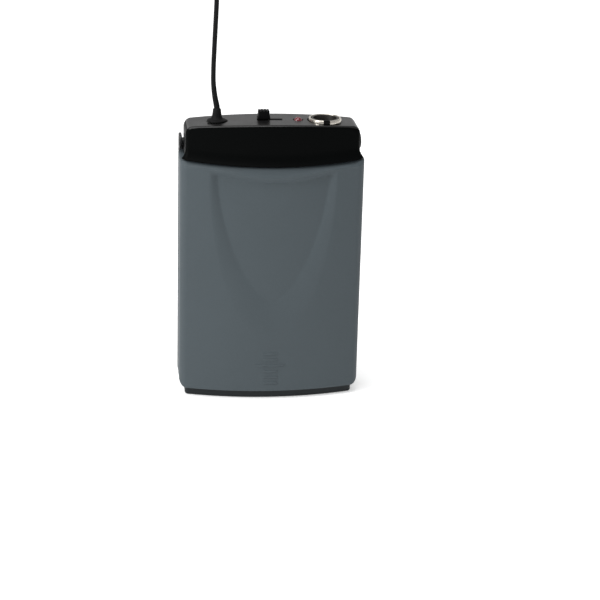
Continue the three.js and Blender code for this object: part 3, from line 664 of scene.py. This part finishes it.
def cover_relief(x, z):
    """How far the cover's face stands in from the bowed case."""
    x, z = np.asarray(x, float), np.asarray(z, float)
    ridge = ridge_height(x)
    inside = (np.abs(x) < outer_half(z)) & (z < ridge - 0.5) & (z > TONGUE_TIP)
    on_floor = (np.abs(x) < inner_half(z)) & (z < ridge - 2.3) & (z > FLOOR_TIP)
    to_outer = outline_distance(tongue_outer, x, z)
    to_floor = outline_distance(tongue_inner, x, z)
    slope = np.where(inside, to_outer / (to_outer + to_floor + 1e-9), 0)
    slope = np.where(on_floor, 1, slope)
    sunk = TONGUE_DEPTH * slope ** 1.4
    room = np.maximum(shell_top(x) - ridge, 0.5)
    above = np.clip((z - ridge + 0.4) / room, 0, 1.3)
    rise = np.where(above < 0.25, above ** 2 * 2, above - 0.125)
    bead = RIDGE_PROUD * np.exp(-((z - ridge) / 0.55) ** 2)
    fade = np.clip((HALF_WIDTH - 0.2 - np.abs(x)) / 3, 0, 1)
    return sunk + fade * (BEVEL_DEPTH * np.clip(rise, 0, 1.1) - bead)


def front_face_y(x):
    return FRONT_CENTRE_Y - math.sqrt(FRONT_RADIUS ** 2 - x ** 2)


def make_rib(half, z, height=0.9, proud=0.28):
    """A thumb rib: a low rounded bar that follows the bowed front."""
    across = np.linspace(-half, half, 13)
    rings = []
    for x in across:
        fade = math.sqrt(max(1 - (abs(x) / half) ** 6, 0.02))
        ring = []
        for turn in np.linspace(0, 2 * math.pi, 12, endpoint=False):
            lift = math.sin(turn)
            ring.append((x, front_face_y(x) - (proud * fade * lift if lift > 0 else 0.4 * lift),
                         z + height / 2 * fade * math.cos(turn)))
        rings.append(np.array(ring))
    return lofted("rib", rings, [grey_plastic], smooth=50)


RAIL_DEPTH, RAIL_Y = 1.2, (1.5, 2.7)
NOTCH_X = HALF_WIDTH - WALL - RAIL_DEPTH - GAP    # the cover's rails pass the base here
NOTCH_Y = (RAIL_Y[0] - GAP, RAIL_Y[1] + 2 * GAP)
RIB_COUNT, RIB_FOOT, RIB_PITCH = 6, 6.4, 2.2
RIB_HALF, WIDE_RIB, WIDE_RIB_HALF = 2.85, 3, 5.7


def make_front_cover():
    front_path, _ = case_paths(GAP / 2)
    cover = make_shell("front_cover_look", front_path, 190, cover_relief)
    extras = [make_rib(WIDE_RIB_HALF if i == WIDE_RIB else RIB_HALF, RIB_FOOT + i * RIB_PITCH)
              for i in range(RIB_COUNT)]
    for side in (-1, 1):
        inner, outer = sorted((side * (HALF_WIDTH - WALL - RAIL_DEPTH), side * (HALF_WIDTH - WALL / 2)))
        low, high = (inner, RAIL_Y[0], 6), (outer, RAIL_Y[1], 78)
        extras.append(box_piece("rail", low, high, 0.2, [grey_plastic]))
    join_into(cover, *extras)
    return settle(cover, "door", "grey_shell", "front_cover")


# ---------- rear case ----------
def bore(x, z, radius, y0, y1, flare=0.25):
    """A cutter for a round hole in the back, with a softened mouth at y1."""
    wide = radius + flare
    profile = ((radius, y0), (radius, y1 - flare), (wide, y1), (wide, y1 + 1))
    return lofted("bore", [circle(x, y, z, r, 32, "y") for r, y in profile], [grey_plastic])


def make_rear_case():
    _, rear_path = case_paths(GAP / 2)
    rear = make_shell("rear_case_look", rear_path, 60, lambda x, z: np.zeros_like(x))
    bores = []
    for number in range(1, 5):
        x, _, z = centre_mm(f"case_screw_{number}")
        bores.append(bore(x, z, 2.9, BACK_Y - 1.5, BACK_Y))
        bores.append(bore(x, z, 1.6, BACK_Y - 3, BACK_Y - 1.4, 0.05))
    cut(rear, *bores)
    return settle(rear, "case", "grey_shell", "rear_case")


# ---------- base plate ----------
def make_base_plate():
    rings = []
    for share in np.linspace(0.1, 0.985, 12):
        ring = case_ring(BASE_INSET + 1.2, 0)
        ring[:, :2] *= share
        rings.append(ring)
    rounding = 0.8
    for turn in np.linspace(-math.pi / 2, 0, 6):
        fall, rise = 1 - math.cos(turn), 1 + math.sin(turn)
        rings.append(case_ring(BASE_INSET + rounding * fall, rounding * rise))
    rings += [case_ring(BASE_INSET, 3.0), case_ring(BASE_INSET, BASE_HEIGHT - 0.3),
              case_ring(BASE_INSET + 0.3, BASE_HEIGHT)]
    base = lofted("base_plate_look", rings, [black_base])
    panel = rounded_rect(21, 5.5, 1.6, 6)
    recess = [np.column_stack([panel * s, np.full(len(panel), z)])
              for s, z in ((1.02, -1), (1.02, 0), (1.0, 0.35), (0.9, 0.36))]
    cutters = [lofted("recess", recess, [black_base])]
    for side in (-1, 1):
        near, far = sorted((side * NOTCH_X, side * (HALF_WIDTH + 2)))
        low, high = (near, NOTCH_Y[0], -1), (far, NOTCH_Y[1], BASE_HEIGHT + 1)
        cutters.append(box_piece("notch", low, high, 0.1, [black_base]))
    cut(base, *cutters)
    return settle(base, "case", "black_shell", "base_plate")


# ---------- top cap ----------
def rod_cutter(x, y, radius, z0, z1, flare, count=48):
    """A cutter for an upright hole whose mouth at z1 is softened."""
    profile = ((radius, z0), (radius, z1 - flare), (radius + 0.35 * flare, z1 - 0.35 * flare),
               (radius + flare, z1), (radius + flare, z1 + 4))
    return lofted("rod", [circle(x, y, z, r, count) for r, z in profile], [lit_cap_black])


def make_top_cap():
    rings, kinds = [], []

    def add(inset, height, kind=0, end_inset=None):
        rings.append(case_ring(inset, height, end_inset))
        kinds.append(kind)

    def above_edge(rise):
        return lambda x: shell_top(x) + GAP + rise

    lip = SHELL_TOP - SHELL_SAG - 2.2
    hollow = CAP_INSET + CAP_WALL
    for share in (0.04, 0.2, 0.6):
        add(hollow + 0.5, ROOF_UNDER)
        rings[-1][:, :2] *= share
    add(hollow + 0.5, ROOF_UNDER)
    add(hollow, ROOF_UNDER - 0.5)
    add(hollow, SHELL_TOP)
    add(BASE_INSET + 1.3, lip)
    add(BASE_INSET + 0.1, lip)
    add(BASE_INSET, lip + 0.2)
    add(BASE_INSET, above_edge(0.05))
    add(FLARE_LIP + 0.25, above_edge(0.05))
    add(FLARE_LIP + 0.05, above_edge(0.15))
    for t in np.linspace(0, 1, 10):
        inset = FLARE_LIP + (CAP_INSET - FLARE_LIP) * (1 - (1 - t) ** 2.2)
        add(inset, above_edge(0.35 + t * (FLARE_HEIGHT - 0.35)))
    add(CAP_INSET, lambda x: 0.5 * (shell_top(x) + GAP + FLARE_HEIGHT + CAP_TOP - CAP_SHOULDER))

    def shoulder_height(t):
        """The cap's upper edge: a large rounding at its sides, a small one front and back."""
        def height(x):
            start = CAP_HALF - CAP_SHOULDER - 2
            sideways = np.clip((np.abs(x) - start) / (CAP_SHOULDER + 1), 0, 1)
            depth = EDGE_ROUNDING + (CAP_SHOULDER - EDGE_ROUNDING) * sideways ** 2
            flat = np.minimum(np.abs(x), CAP_HALF - CAP_SHOULDER)
            return roof_height(flat) - depth * (1 - math.sin(t * math.pi / 2))
        return height

    for t in np.linspace(0, 1, 10):
        fall = 1 - math.cos(t * math.pi / 2)
        add(CAP_INSET + EDGE_ROUNDING * fall, shoulder_height(t), 0 if t < 0.5 else 1,
            CAP_INSET + CAP_SHOULDER * fall)
    roof_edge = rings[-1]
    for share in np.linspace(0.96, 0.04, 20):
        ring = roof_edge.copy()
        ring[:, :2] *= share
        ring[:, 2] = roof_height(ring[:, 0])
        rings.append(ring)
        kinds.append(1)
    # The walls take the copy of the cap's black with painted shade, and the roof takes the copy with
    # painted light.
    cap = lofted("top_cap_look", rings, [shaded_cap_black, lit_cap_black], kinds[1:], smooth=30)

    antenna = centre_mm("antenna_boot")
    socket = centre_mm("socket_ring")
    lamp = centre_mm("lamp_lens")
    knob_low, knob_high = box_mm("power_knob")
    boot_seat = box_mm("antenna_boot")[0][2] - GAP
    ring_seat = box_mm("socket_ring")[0][2] - GAP
    slot_x = (knob_low[0] + knob_high[0] + KNOB_TRAVEL) / 2
    slot_rings = []
    for grow, z in ((0, ROOF_UNDER - 1), (0, roof_height(0) - 0.3), (0.1, roof_height(0) - 0.1),
                    (0.3, roof_height(0) + 0.05), (0.3, roof_height(0) + 3)):
        outline = rounded_rect(SLOT_HALF_X + grow, SLOT_HALF_Y + grow, 0.35 + grow)
        slot_rings.append(np.column_stack([outline + (slot_x, 0), np.full(len(outline), z)]))
    cutters = [lofted("slot", slot_rings, [lit_cap_black])]
    for at, radius, seat, through in (
            (antenna, BOOT_RADIUS + GAP, boot_seat, 2.2), (socket, RING_RADIUS + GAP, ring_seat, 4.9)):
        cutters.append(rod_cutter(at[0], 0, radius, seat, seat + 0.35, 0.12, 64))
        cutters.append(rod_cutter(at[0], 0, through, ROOF_UNDER - 1, seat, 0.05, 48))
    cutters.append(rod_cutter(lamp[0], 0, 1.8, ROOF_UNDER - 1, roof_height(lamp[0]), 0.15, 40))
    for side in (-1, 1):
        near, far = sorted((side * CAP_HALF, side * (HALF_WIDTH + 2)))
        low, high = (near, POCKET_Y, SHELL_TOP - 0.5), (far, BACK_Y + 4, POCKET_TOP)
        cutters.append(box_piece("pocket", low, high, 0.25, [shaded_cap_black]))
    cut(cap, *cutters)
    cap.data.set_sharp_from_angle(angle=math.radians(32))
    return settle(cap, "case", "black_shell", "top_cap")


# ---------- top fittings ----------
def make_antenna():
    low, high = box_mm("antenna_boot")
    x = (low[0] + high[0]) / 2
    foot, top = low[2], high[2]
    inner = 1.0
    profile = [(inner, foot), (3.2, foot), (3.36, foot + 0.12), (BOOT_RADIUS, foot + 0.35),
               (3.3, foot + 0.62), (3.0, foot + 0.8), (2.5, foot + 0.95), (2.05, foot + 1.2),
               (1.8, foot + 1.6), (1.62, foot + 2.3), (1.5, foot + 3.2), (1.4, foot + 4.2),
               (1.32, top - 0.3), (1.15, top - 0.08), (inner, top)]
    boot = turned("antenna_boot_look", x, 0, profile, [rubber], closed=True)
    settle(boot, "case", "rubber", "antenna_boot")

    whip_low, whip_high = box_mm("antenna_whip")
    bow = [(4, -0.75), (9, -1.3), (14, -1.32), (22, -1.05), (36, -0.5), (52, -0.1), (68, 0)]
    knots = [(x, whip_low[2] + 0.5), (x, (whip_low[2] + top) / 2), (x, top)]
    knots += [(x + side, top + height) for height, side in bow] + [(x, whip_high[2] - 0.5)]
    knots = np.array(knots)
    heights = np.concatenate([
        np.linspace(knots[0][1], top + 30, 60), np.linspace(top + 32, knots[-1][1], 40)])
    sides = smooth_through(knots[:, 1], knots[:, 0], heights)
    radii = 0.82 + 0.22 * np.clip((top + 12 - heights) / 12, 0, 1) ** 1.5
    radii = np.minimum(radii, 1.02)
    line = [(side, 0, height) for side, height in zip(sides, heights)]
    whip = tube("antenna_whip_look", line, radii, [rubber], 20)
    settle(whip, "case", "rubber", "antenna_whip")
    refined("antenna_bush", 0.15, [brass], "case", "brass")
    refined("antenna_lead", 0.08, [nickel], "case", "nickel")


def smooth_through(at, values, where):
    """A smooth curve through the values: cubic, with its slopes from each point's neighbours."""
    at, values = np.asarray(at), np.asarray(values)
    slopes = np.gradient(values, at)
    index = np.clip(np.searchsorted(at, where) - 1, 0, len(at) - 2)
    width = at[index + 1] - at[index]
    t = (where - at[index]) / width
    h00, h10 = 2 * t ** 3 - 3 * t ** 2 + 1, t ** 3 - 2 * t ** 2 + t
    h01, h11 = -2 * t ** 3 + 3 * t ** 2, t ** 3 - t ** 2
    return (h00 * values[index] + h10 * width * slopes[index]
            + h01 * values[index + 1] + h11 * width * slopes[index + 1])


def make_knob():
    low, high = box_mm("power_knob")
    x = (low[0] + high[0]) / 2
    top = high[2]
    foot = top - KNOB_HEIGHT
    rings = []
    for half_x, half_y, radius, z in (
            (1.6, 0.65, 0.2, low[2]), (1.7, 0.7, 0.2, low[2] + 0.2), (1.7, 0.7, 0.2, foot - 0.02),
            (2.05, 1.65, 0.5, foot), (2.2, 1.8, 0.6, foot + 0.15), (2.2, 1.8, 0.6, foot + 0.7),
            (2.12, 1.74, 0.6, foot + 1.1), (1.98, 1.64, 0.55, foot + 1.6),
            (1.94, 1.6, 0.55, top - 0.55), (1.88, 1.54, 0.5, top - 0.25),
            (1.74, 1.4, 0.45, top - 0.06), (1.55, 1.22, 0.4, top)):
        outline = rounded_rect(half_x, half_y, radius)
        rings.append(np.column_stack([outline + (x, 0), np.full(len(outline), z)]))
    knob = lofted("power_knob_look", rings, [knob_plastic])
    grooves = []
    turn = np.linspace(0, 2 * math.pi, 16, endpoint=False)
    for i in (-1, 0, 1):
        across = x + i * GROOVE_PITCH + GROOVE_HALF * np.cos(turn)
        upward = top + 0.02 + GROOVE_DEPTH * np.sin(turn)
        ends = [np.stack([across, np.full(16, y), upward], 1) for y in (-3, 3)]
        grooves.append(lofted("groove", ends, [knob_plastic]))
    cut(knob, *grooves)
    settle(knob, "power", "knob_plastic", "power_knob")
    refined("switch_body", 0.15, [steel], "case", "steel")


def make_lamp():
    low, high = box_mm("lamp_lens")
    x, top, foot = (low[0] + high[0]) / 2, high[2], low[2]
    profile = [(1.9, foot), (2.0, foot + 0.1), (2.0, foot + 0.95), (LAMP_RADIUS, foot + 1.0)]
    profile += [(LAMP_RADIUS * math.cos(a), top - LAMP_RADIUS * (1 - math.sin(a)))
                for a in np.linspace(0, math.pi / 2, 10)]
    lens = turned("lamp_lens_look", x, 0, profile, [lamp_resin], count=40)
    settle(lens, "case", "lamp", "lamp_lens")
    for side in ("left", "right"):
        refined(f"lamp_lead_{side}", 0.05, [steel], "case", "steel")


def make_socket():
    low, high = box_mm("socket_ring")
    x, foot, rim = (low[0] + high[0]) / 2, low[2], high[2]
    profile = rounded_profile([
        (4.9, foot), (5.72, foot), (RING_RADIUS, foot + 0.5), (5.55, rim), (4.9, rim)], 0.28, 5)
    ring = turned("socket_ring_look", x, 0, profile, [nickel], count=72, closed=True)
    notch = box_piece("notch", (x - 1.15, -7, foot - 1), (x + 1.15, -3.5, rim + 1), 0.3, [nickel])
    cut(ring, notch)
    settle(ring, "case", "nickel", "socket_ring")
    low, high = (x - 1.05, -5.9, foot - 0.2), (x + 1.05, -4.75, rim + 0.25)
    latch = box_piece("socket_latch", low, high, 0.3, [knob_plastic])
    settle(latch, "case", "knob_plastic")
    shell_low, shell_high = box_mm("socket_shell")
    flange = ROOF_UNDER - GAP
    end, mouth = shell_low[2], shell_high[2]
    profile = rounded_profile([
        (4.1, end), (4.6, end), (4.6, flange - 1.2), (5.5, flange - 1.2), (5.5, flange),
        (4.6, flange), (4.6, mouth), (4.1, mouth)], 0.14, 4)
    # The shell's nickel is painted dark, as painted shade inside the socket's well.
    shell = turned("socket_shell_look", x, 0, profile, [socket_nickel_painted_shade], count=64, closed=True)
    flat = 4.8
    sides = [box_piece("flat", (x - 8, y0, end - 2), (x + 8, y1, mouth + 2), 0.1, [nickel])
             for y0, y1 in ((-9, -flat), (flat, 9))]
    cut(shell, *sides)
    settle(shell, "case", "nickel", "socket_shell")
    refined("socket_insert", 0.15, [inner_plastic], "case", "black_plastic")
    for number in (1, 2, 3):
        pin_low, pin_high = box_mm(f"socket_pin_{number}")
        px, py = (pin_low[:2] + pin_high[:2]) / 2
        z0, z1, r = pin_low[2], pin_high[2], 0.5
        profile = [(0.3, z0), (r, z0 + 0.2), (r, z1 - 0.5), (0.92 * r, z1 - 0.25),
                   (0.6 * r, z1 - 0.06), (0.1, z1)]
        pin = turned(f"socket_pin_{number}_look", px, py, profile, [brass], count=20)
        settle(pin, "case", "brass", f"socket_pin_{number}")


# ---------- battery bay ----------
def make_cells():
    for node, upright in (("cell_left", True), ("cell_right", False)):
        low, high = box_mm(node)
        x, y, radius = (low[0] + high[0]) / 2, (low[1] + high[1]) / 2, (high[0] - low[0]) / 2
        length = high[2] - low[2]
        blue, pale, bare = 0, 1, 2
        rows = [(5.2, 0.15, bare), (5.4, 0.0, bare), (6.3, 0.0, bare), (radius - 0.3, 0.12, bare),
                (radius - 0.12, 0.35, bare), (radius - 0.12, 0.6, blue), (radius, 0.75, blue),
                (radius, 12.0, pale), (radius, 13.4, blue), (radius, length - 2.1, blue),
                (radius - 0.12, length - 1.95, bare), (radius - 0.3, length - 1.6, bare),
                (radius - 0.7, length - 1.35, bare), (5.0, length - 1.2, bare),
                (3.4, length - 1.3, bare), (2.9, length - 1.1, bare), (2.7, length - 0.8, bare),
                (2.7, length - 0.2, bare), (2.5, length, bare), (0.3, length, bare)]
        profile = [(r, low[2] + z if upright else high[2] - z) for r, z, _ in rows]
        kinds = [kind for _, _, kind in rows][:-1]
        cell = turned(f"{node}_look", x, y, profile, [cell_blue, cell_pale, nickel], kinds)
        settle(cell, "case", "cell_jacket", node)


def make_spring(node, wide_end_low):
    low, high = box_mm(node)
    cell = "cell_left" if low[0] + high[0] < 0 else "cell_right"
    x, y, _ = centre_mm(cell)
    wire = 0.35
    share = np.linspace(0, 1, 150)
    radius = 4.6 - 2.0 * share
    turn = share * 6 * math.pi
    z0, z1 = low[2] + wire, high[2] - wire
    z = z0 + (z1 - z0) * share if wide_end_low else z1 - (z1 - z0) * share
    line = np.stack([x + radius * np.cos(turn), y + radius * np.sin(turn), z], 1)
    coil = tube(f"{node}_look", line, np.full(len(line), wire), [nickel], 12)
    settle(coil, "case", "nickel", node)


def make_bay():
    refined("battery_tray", 0.3, [inner_plastic], "case", "black_plastic")
    make_cells()
    for node in ("bridge_contact", "positive_contact", "negative_contact"):
        refined(node, 0.08, [nickel], "case", "nickel")
    make_spring("bridge_spring", True)
    make_spring("negative_spring", False)


# ---------- circuit board ----------
def make_board():
    refined("main_board", 0.1, [board_laminate], "case", "circuit_board")
    for side in ("left", "right"):
        refined(f"board_screw_{side}", 0.15, [steel], "case", "steel")
        capacitor(f"capacitor_{side}")
    refined("shield_can", 0.35, [nickel], "case", "nickel")
    refined("crystal", 0.4, [nickel], "case", "nickel", 3)
    refined("audio_chip", 0.15, [chip_plastic], "case", "chip_plastic")
    refined("radio_chip", 0.12, [chip_plastic], "case", "chip_plastic")
    refined("gain_pot_body", 0.25, [inner_plastic], "case", "black_plastic")
    refined("gain_dial", 0.15, [brass], "gain", "brass")
    make_legs()
    make_small_parts()


def capacitor(node):
    """A can in a shrunk sleeve: rounded at its base, with a bare crimped top."""
    low, high = box_mm(node)
    x, z, r = (low[0] + high[0]) / 2, (low[2] + high[2]) / 2, (high[0] - low[0]) / 2
    profile = [(0.3, 0), (r - 0.9, 0), (r - 0.75, 0.1), (r - 0.2, 0.08), (r, 0.3), (r, 3.9),
               (r - 0.25, 4.15), (r - 0.25, 4.45), (r, 4.7), (r, 5.35), (r - 0.2, 5.5), (0.3, 5.5)]
    rings = [circle(x, low[1] + y, z, radius, 32, "y") for radius, y in profile]
    bare_rows = 2
    kinds = [1] * bare_rows + [0] * (len(rings) - 1 - bare_rows)
    obj = lofted(f"{node}_look", rings, [sleeve_plastic, steel], kinds)
    settle(obj, "case", "capacitor_sleeve", node)


def make_legs():
    """The chips' gull-wing legs."""
    board_y = box_mm("main_board")[0][1]
    legs = []
    for node, count in (("audio_chip", 6), ("radio_chip", 5)):
        low, high = box_mm(node)
        mid_y = (low[1] + high[1]) / 2
        for i in range(count):
            x = low[0] + (high[0] - low[0]) * (i + 0.5) / count
            for z, way in ((high[2], 1), (low[2], -1)):
                z0, z1 = sorted((z - 0.1 * way, z + 0.85 * way))
                f0, f1 = sorted((z + 0.55 * way, z + 1.2 * way))
                for end_y, low_z, high_z in ((mid_y + 0.18, z0, z1 - 0.2), (board_y - 0.02, f0, f1)):
                    near, far = (x - 0.2, mid_y, low_z), (x + 0.2, end_y, high_z)
                    legs.append(box_piece("leg", near, far, 0.05, [nickel]))
    join_into(*legs)
    legs[0].name = "chip_legs"
    settle(legs[0], "case", "nickel")


def make_small_parts():
    """Rows of small surface-mounted parts with bright end caps."""
    board_y = box_mm("main_board")[0][1]
    foot = box_mm("main_board")[0][2]
    bodies, ends = [], []
    spots = [(-24.4, 3.2, 0), (-24.4, 6.4, 0), (-11.5, 2.2, 1), (-11.5, 4.6, 1), (-11.5, 7.0, 1),
             (5.6, 2.0, 1), (5.6, 4.4, 0), (8.4, 7.2, 1), (11.6, 5.2, 0), (11.6, 9.0, 0),
             (10.6, 12.6, 0), (23.4, 9.2, 0), (23.4, 12.6, 0), (24.6, 16.0, 1), (-2.6, 12.0, 0),
             (-2.6, 15.4, 0)]
    for x, rise, lying in spots:
        half_x, half_z = (0.95, 0.5) if lying else (0.5, 0.95)
        z = foot + rise
        low = np.array((x - half_x, board_y - 0.55, z - half_z))
        high = np.array((x + half_x, board_y - 0.02, z + half_z))
        bodies.append(box_piece("part", low + (0, 0.06, 0), high, 0.06, [chip_plastic]))
        for way in (-1, 1):
            a, b = low.copy(), high.copy()
            axis = 0 if lying else 2
            if way < 0:
                b[axis] = a[axis] + 0.35
            else:
                a[axis] = b[axis] - 0.35
            ends.append(box_piece("cap", a - 0.02, b + (0.02, 0, 0.02), 0.08, [nickel]))
    join_into(*bodies)
    join_into(*ends)
    bodies[0].name, ends[0].name = "small_parts", "small_part_ends"
    settle(bodies[0], "case", "chip_plastic")
    settle(ends[0], "case", "nickel")


# ---------- belt clip ----------
CLIP_PIVOT_Y, CLIP_ARM_Z = 6.6, 90.4
CLIP_OUTER = HALF_WIDTH - GAP / 2
CLIP_THICK = 1.0
PIVOT_RADIUS, PIVOT_FOOT = 1.2, 29.0
ARM_HALF = 2.6                 # half the arms' height
TONGUE_HALF_WIDTH = 11.0
STRAP_Y = BACK_Y + 0.5 + CLIP_THICK / 2
STRAP_FOOT = CLIP_ARM_Z - 5.8


def sheet_section(low, high, half, edge=0.28):
    """A thin rounded section: offsets across the sheet and heights along it."""
    return [(-half, low + edge), (-half, high - edge), (-half + 0.3 * edge, high - 0.3 * edge),
            (-half + edge, high), (half - edge, high), (half - 0.3 * edge, high - 0.3 * edge),
            (half, high - edge), (half, low + edge), (half - 0.3 * edge, low + 0.3 * edge),
            (half - edge, low), (-half + edge, low), (-half + 0.3 * edge, low + 0.3 * edge)]


def make_clip():
    half = CLIP_THICK / 2
    mid = CLIP_OUTER - half
    bend = 1.6
    arm_start = CLIP_PIVOT_Y - ARM_HALF
    path = np.vstack([
        line_path((mid, arm_start), (mid, STRAP_Y - bend), (1, 0), 26)[:-1],
        arc_path(mid - bend, STRAP_Y - bend, bend, 0, math.pi / 2, 9)[:-1],
        line_path((mid - bend, STRAP_Y), (-mid + bend, STRAP_Y), (0, 1), 40)[:-1],
        arc_path(-mid + bend, STRAP_Y - bend, bend, math.pi / 2, math.pi, 9)[:-1],
        line_path((-mid, STRAP_Y - bend), (-mid, arm_start), (-1, 0), 26),
    ])
    rings = []
    for x, y, nx, ny in path:
        into = np.clip((y - (STRAP_Y - 2 * bend)) / (2 * bend), 0, 1)
        into = into * into * (3 - 2 * into)
        over = max(CLIP_PIVOT_Y - y, 0)
        arm_half = math.sqrt(max(ARM_HALF ** 2 - over ** 2, 0.12))
        low = (1 - into) * (CLIP_ARM_Z - arm_half) + into * STRAP_FOOT
        high = (1 - into) * (CLIP_ARM_Z + arm_half) + into * CLIP_ARM_Z
        section = sheet_section(low, high, half)
        rings.append(np.array([(x + nx * out, y + ny * out, z) for out, z in section]))
    clip = lofted("belt_clip_look", rings, [clip_steel], smooth=40)

    far = BACK_Y + 5.0 + half
    foot = 27.0

    def bezier(p0, p1, p2, p3, steps=16):
        t = np.linspace(0, 1, steps)[:, None]
        p0, p1, p2, p3 = map(np.array, (p0, p1, p2, p3))
        u = 1 - t
        return u ** 3 * p0 + 3 * t * u ** 2 * p1 + 3 * t ** 2 * u * p2 + t ** 3 * p3

    line = np.vstack([
        [(STRAP_Y, CLIP_ARM_Z - 1), (STRAP_Y, STRAP_FOOT + 4)],
        bezier((STRAP_Y, STRAP_FOOT + 1.5), (STRAP_Y, STRAP_FOOT - 2),
               (far, STRAP_FOOT - 2), (far, STRAP_FOOT - 7)),
        [(far, z) for z in np.linspace(STRAP_FOOT - 8, foot + 15, 24)],
        bezier((far, foot + 14), (far, foot + 7), (STRAP_Y, foot + 8), (STRAP_Y, foot + 4)),
        bezier((STRAP_Y, foot + 3.6), (STRAP_Y, foot + 2.4),
               (STRAP_Y + 0.8, foot + 0.9), (STRAP_Y + 2.2, foot), 8),
    ])
    along = np.gradient(line, axis=0)
    along /= np.linalg.norm(along, axis=1)[:, None]
    normal = np.stack([-along[:, 1], along[:, 0]], 1)
    travelled = np.concatenate([[0], np.cumsum(np.linalg.norm(np.diff(line, axis=0), axis=1))])
    left = travelled[-1] - travelled
    corner = 3.0
    rings = []
    for (y, z), (ny, nz), gone, to_end in zip(line, normal, travelled, left):
        rounding = corner - math.sqrt(max(corner ** 2 - max(corner - to_end, 0) ** 2, 0))
        reach = TONGUE_HALF_WIDTH - rounding
        bead = np.clip((gone - 16) / 6, 0, 1) * np.clip((to_end - 18) / 6, 0, 1)
        ring = []
        for side, order in ((1, 1), (-1, -1)):
            for x in np.linspace(-1, 1, 23)[::order]:
                edge = 0.28 * max(0, (abs(x) * 11 - 10.6) / 0.4) if abs(x) > 0.96 else 0
                sunk = 0.5 * bead * max(0, 1 - (x * reach / 3.2) ** 2) ** 2
                offset = side * (half - edge) - sunk
                ring.append((x * reach, y + ny * offset, z + nz * offset))
        rings.append(np.array(ring))
    tongue = lofted("tongue", rings, [clip_steel], smooth=40)

    rivets = []
    for side in (-1, 1):
        head = ((1.7, -0.3), (1.7, 0.02), (1.6, 0.09), (1.2, 0.13), (0.3, 0.14))
        pin = ((PIVOT_RADIUS, PIVOT_FOOT - CLIP_OUTER), (PIVOT_RADIUS, -0.4))
        for profile, count in ((head, 32), (pin, 24)):
            rings = [circle(side * (CLIP_OUTER + out), CLIP_PIVOT_Y, CLIP_ARM_Z, radius, count, "x")
                     for radius, out in profile]
            rivets.append(lofted("rivet", rings, [clip_steel]))
    join_into(clip, tongue, *rivets)
    return settle(clip, "clip", "clip_steel", "belt_clip")


# ---------- build ----------
make_front_cover()
make_rear_case()
make_base_plate()
make_top_cap()
make_antenna()
make_knob()
make_lamp()
make_socket()
make_bay()
make_board()
make_clip()
for number in range(1, 5):
    refined(f"case_screw_{number}", 0.12, [steel], "case", "steel")


# ---------- stage, light and camera, in metres ----------
def make_floor():
    mesh = bpy.data.meshes.new("floor")
    reach = 12.0               # metres
    corners = [(-reach, -reach, 0), (reach, -reach, 0), (reach, reach, 0), (-reach, reach, 0)]
    mesh.from_pydata(corners, [], [(0, 1, 2, 3)])
    floor = bpy.data.objects.new("floor", mesh)
    bpy.context.scene.collection.objects.link(floor)
    finish = Finish("floor_paper", (0.9, 0.9, 0.9), 0.9, specular=0.1)
    finish.shader.inputs["Emission Color"].default_value = (1, 1, 1, 1)
    finish.shader.inputs["Emission Strength"].default_value = 0.42
    mesh.materials.append(finish.done())


def make_world():
    world = bpy.data.worlds.new("studio")
    bpy.context.scene.world = world
    world.use_nodes = True
    background = next(n for n in world.node_tree.nodes if n.type == "BACKGROUND")
    background.inputs["Color"].default_value = (1, 1, 1, 1)
    background.inputs["Strength"].default_value = 0.45


def make_light(name, place, aim, size, power):
    data = bpy.data.lights.new(name, "AREA")
    data.shape = "RECTANGLE"
    data.size, data.size_y = size
    data.energy = power
    light = bpy.data.objects.new(name, data)
    bpy.context.scene.collection.objects.link(light)
    light.location = place
    light.visible_camera = False
    light.rotation_euler = (Vector(aim) - Vector(place)).to_track_quat("-Z", "Y").to_euler()


def make_camera():
    yaw, pitch, roll = (math.radians(a) for a in (6.985, 19.38, 1.566))
    level = math.cos(pitch)
    forward = Vector((math.sin(yaw) * level, math.cos(yaw) * level, -math.sin(pitch)))
    flat_right = Vector((math.cos(yaw), -math.sin(yaw), 0))
    flat_up = flat_right.cross(forward)
    right = flat_right * math.cos(roll) + flat_up * math.sin(roll)
    up = flat_up * math.cos(roll) - flat_right * math.sin(roll)
    data = bpy.data.cameras.new("camera")
    data.sensor_width = 36
    data.lens = 111.76
    camera = bpy.data.objects.new("camera", data)
    bpy.context.scene.collection.objects.link(camera)
    turn = Matrix((right, up, -forward)).transposed().to_4x4()
    camera.matrix_world = Matrix.Translation((-0.0650, -0.6224, 0.2542)) @ turn
    bpy.context.scene.camera = camera


make_floor()
make_world()
make_light("key", (-1.1, -0.5, 0.75), (0, 0, 0.05), (0.5, 0.7), 11.5)
make_light("top", (-0.3, -0.3, 1.5), (0, 0, 0), (1.2, 1.2), 15)
make_light("back", (0.0, 1.3, 0.55), (0, 0, 0.45), (2.4, 1.0), 1.5)
make_camera()
bpy.context.scene.view_settings.view_transform = "Standard"
bpy.context.scene.view_settings.look = "None"
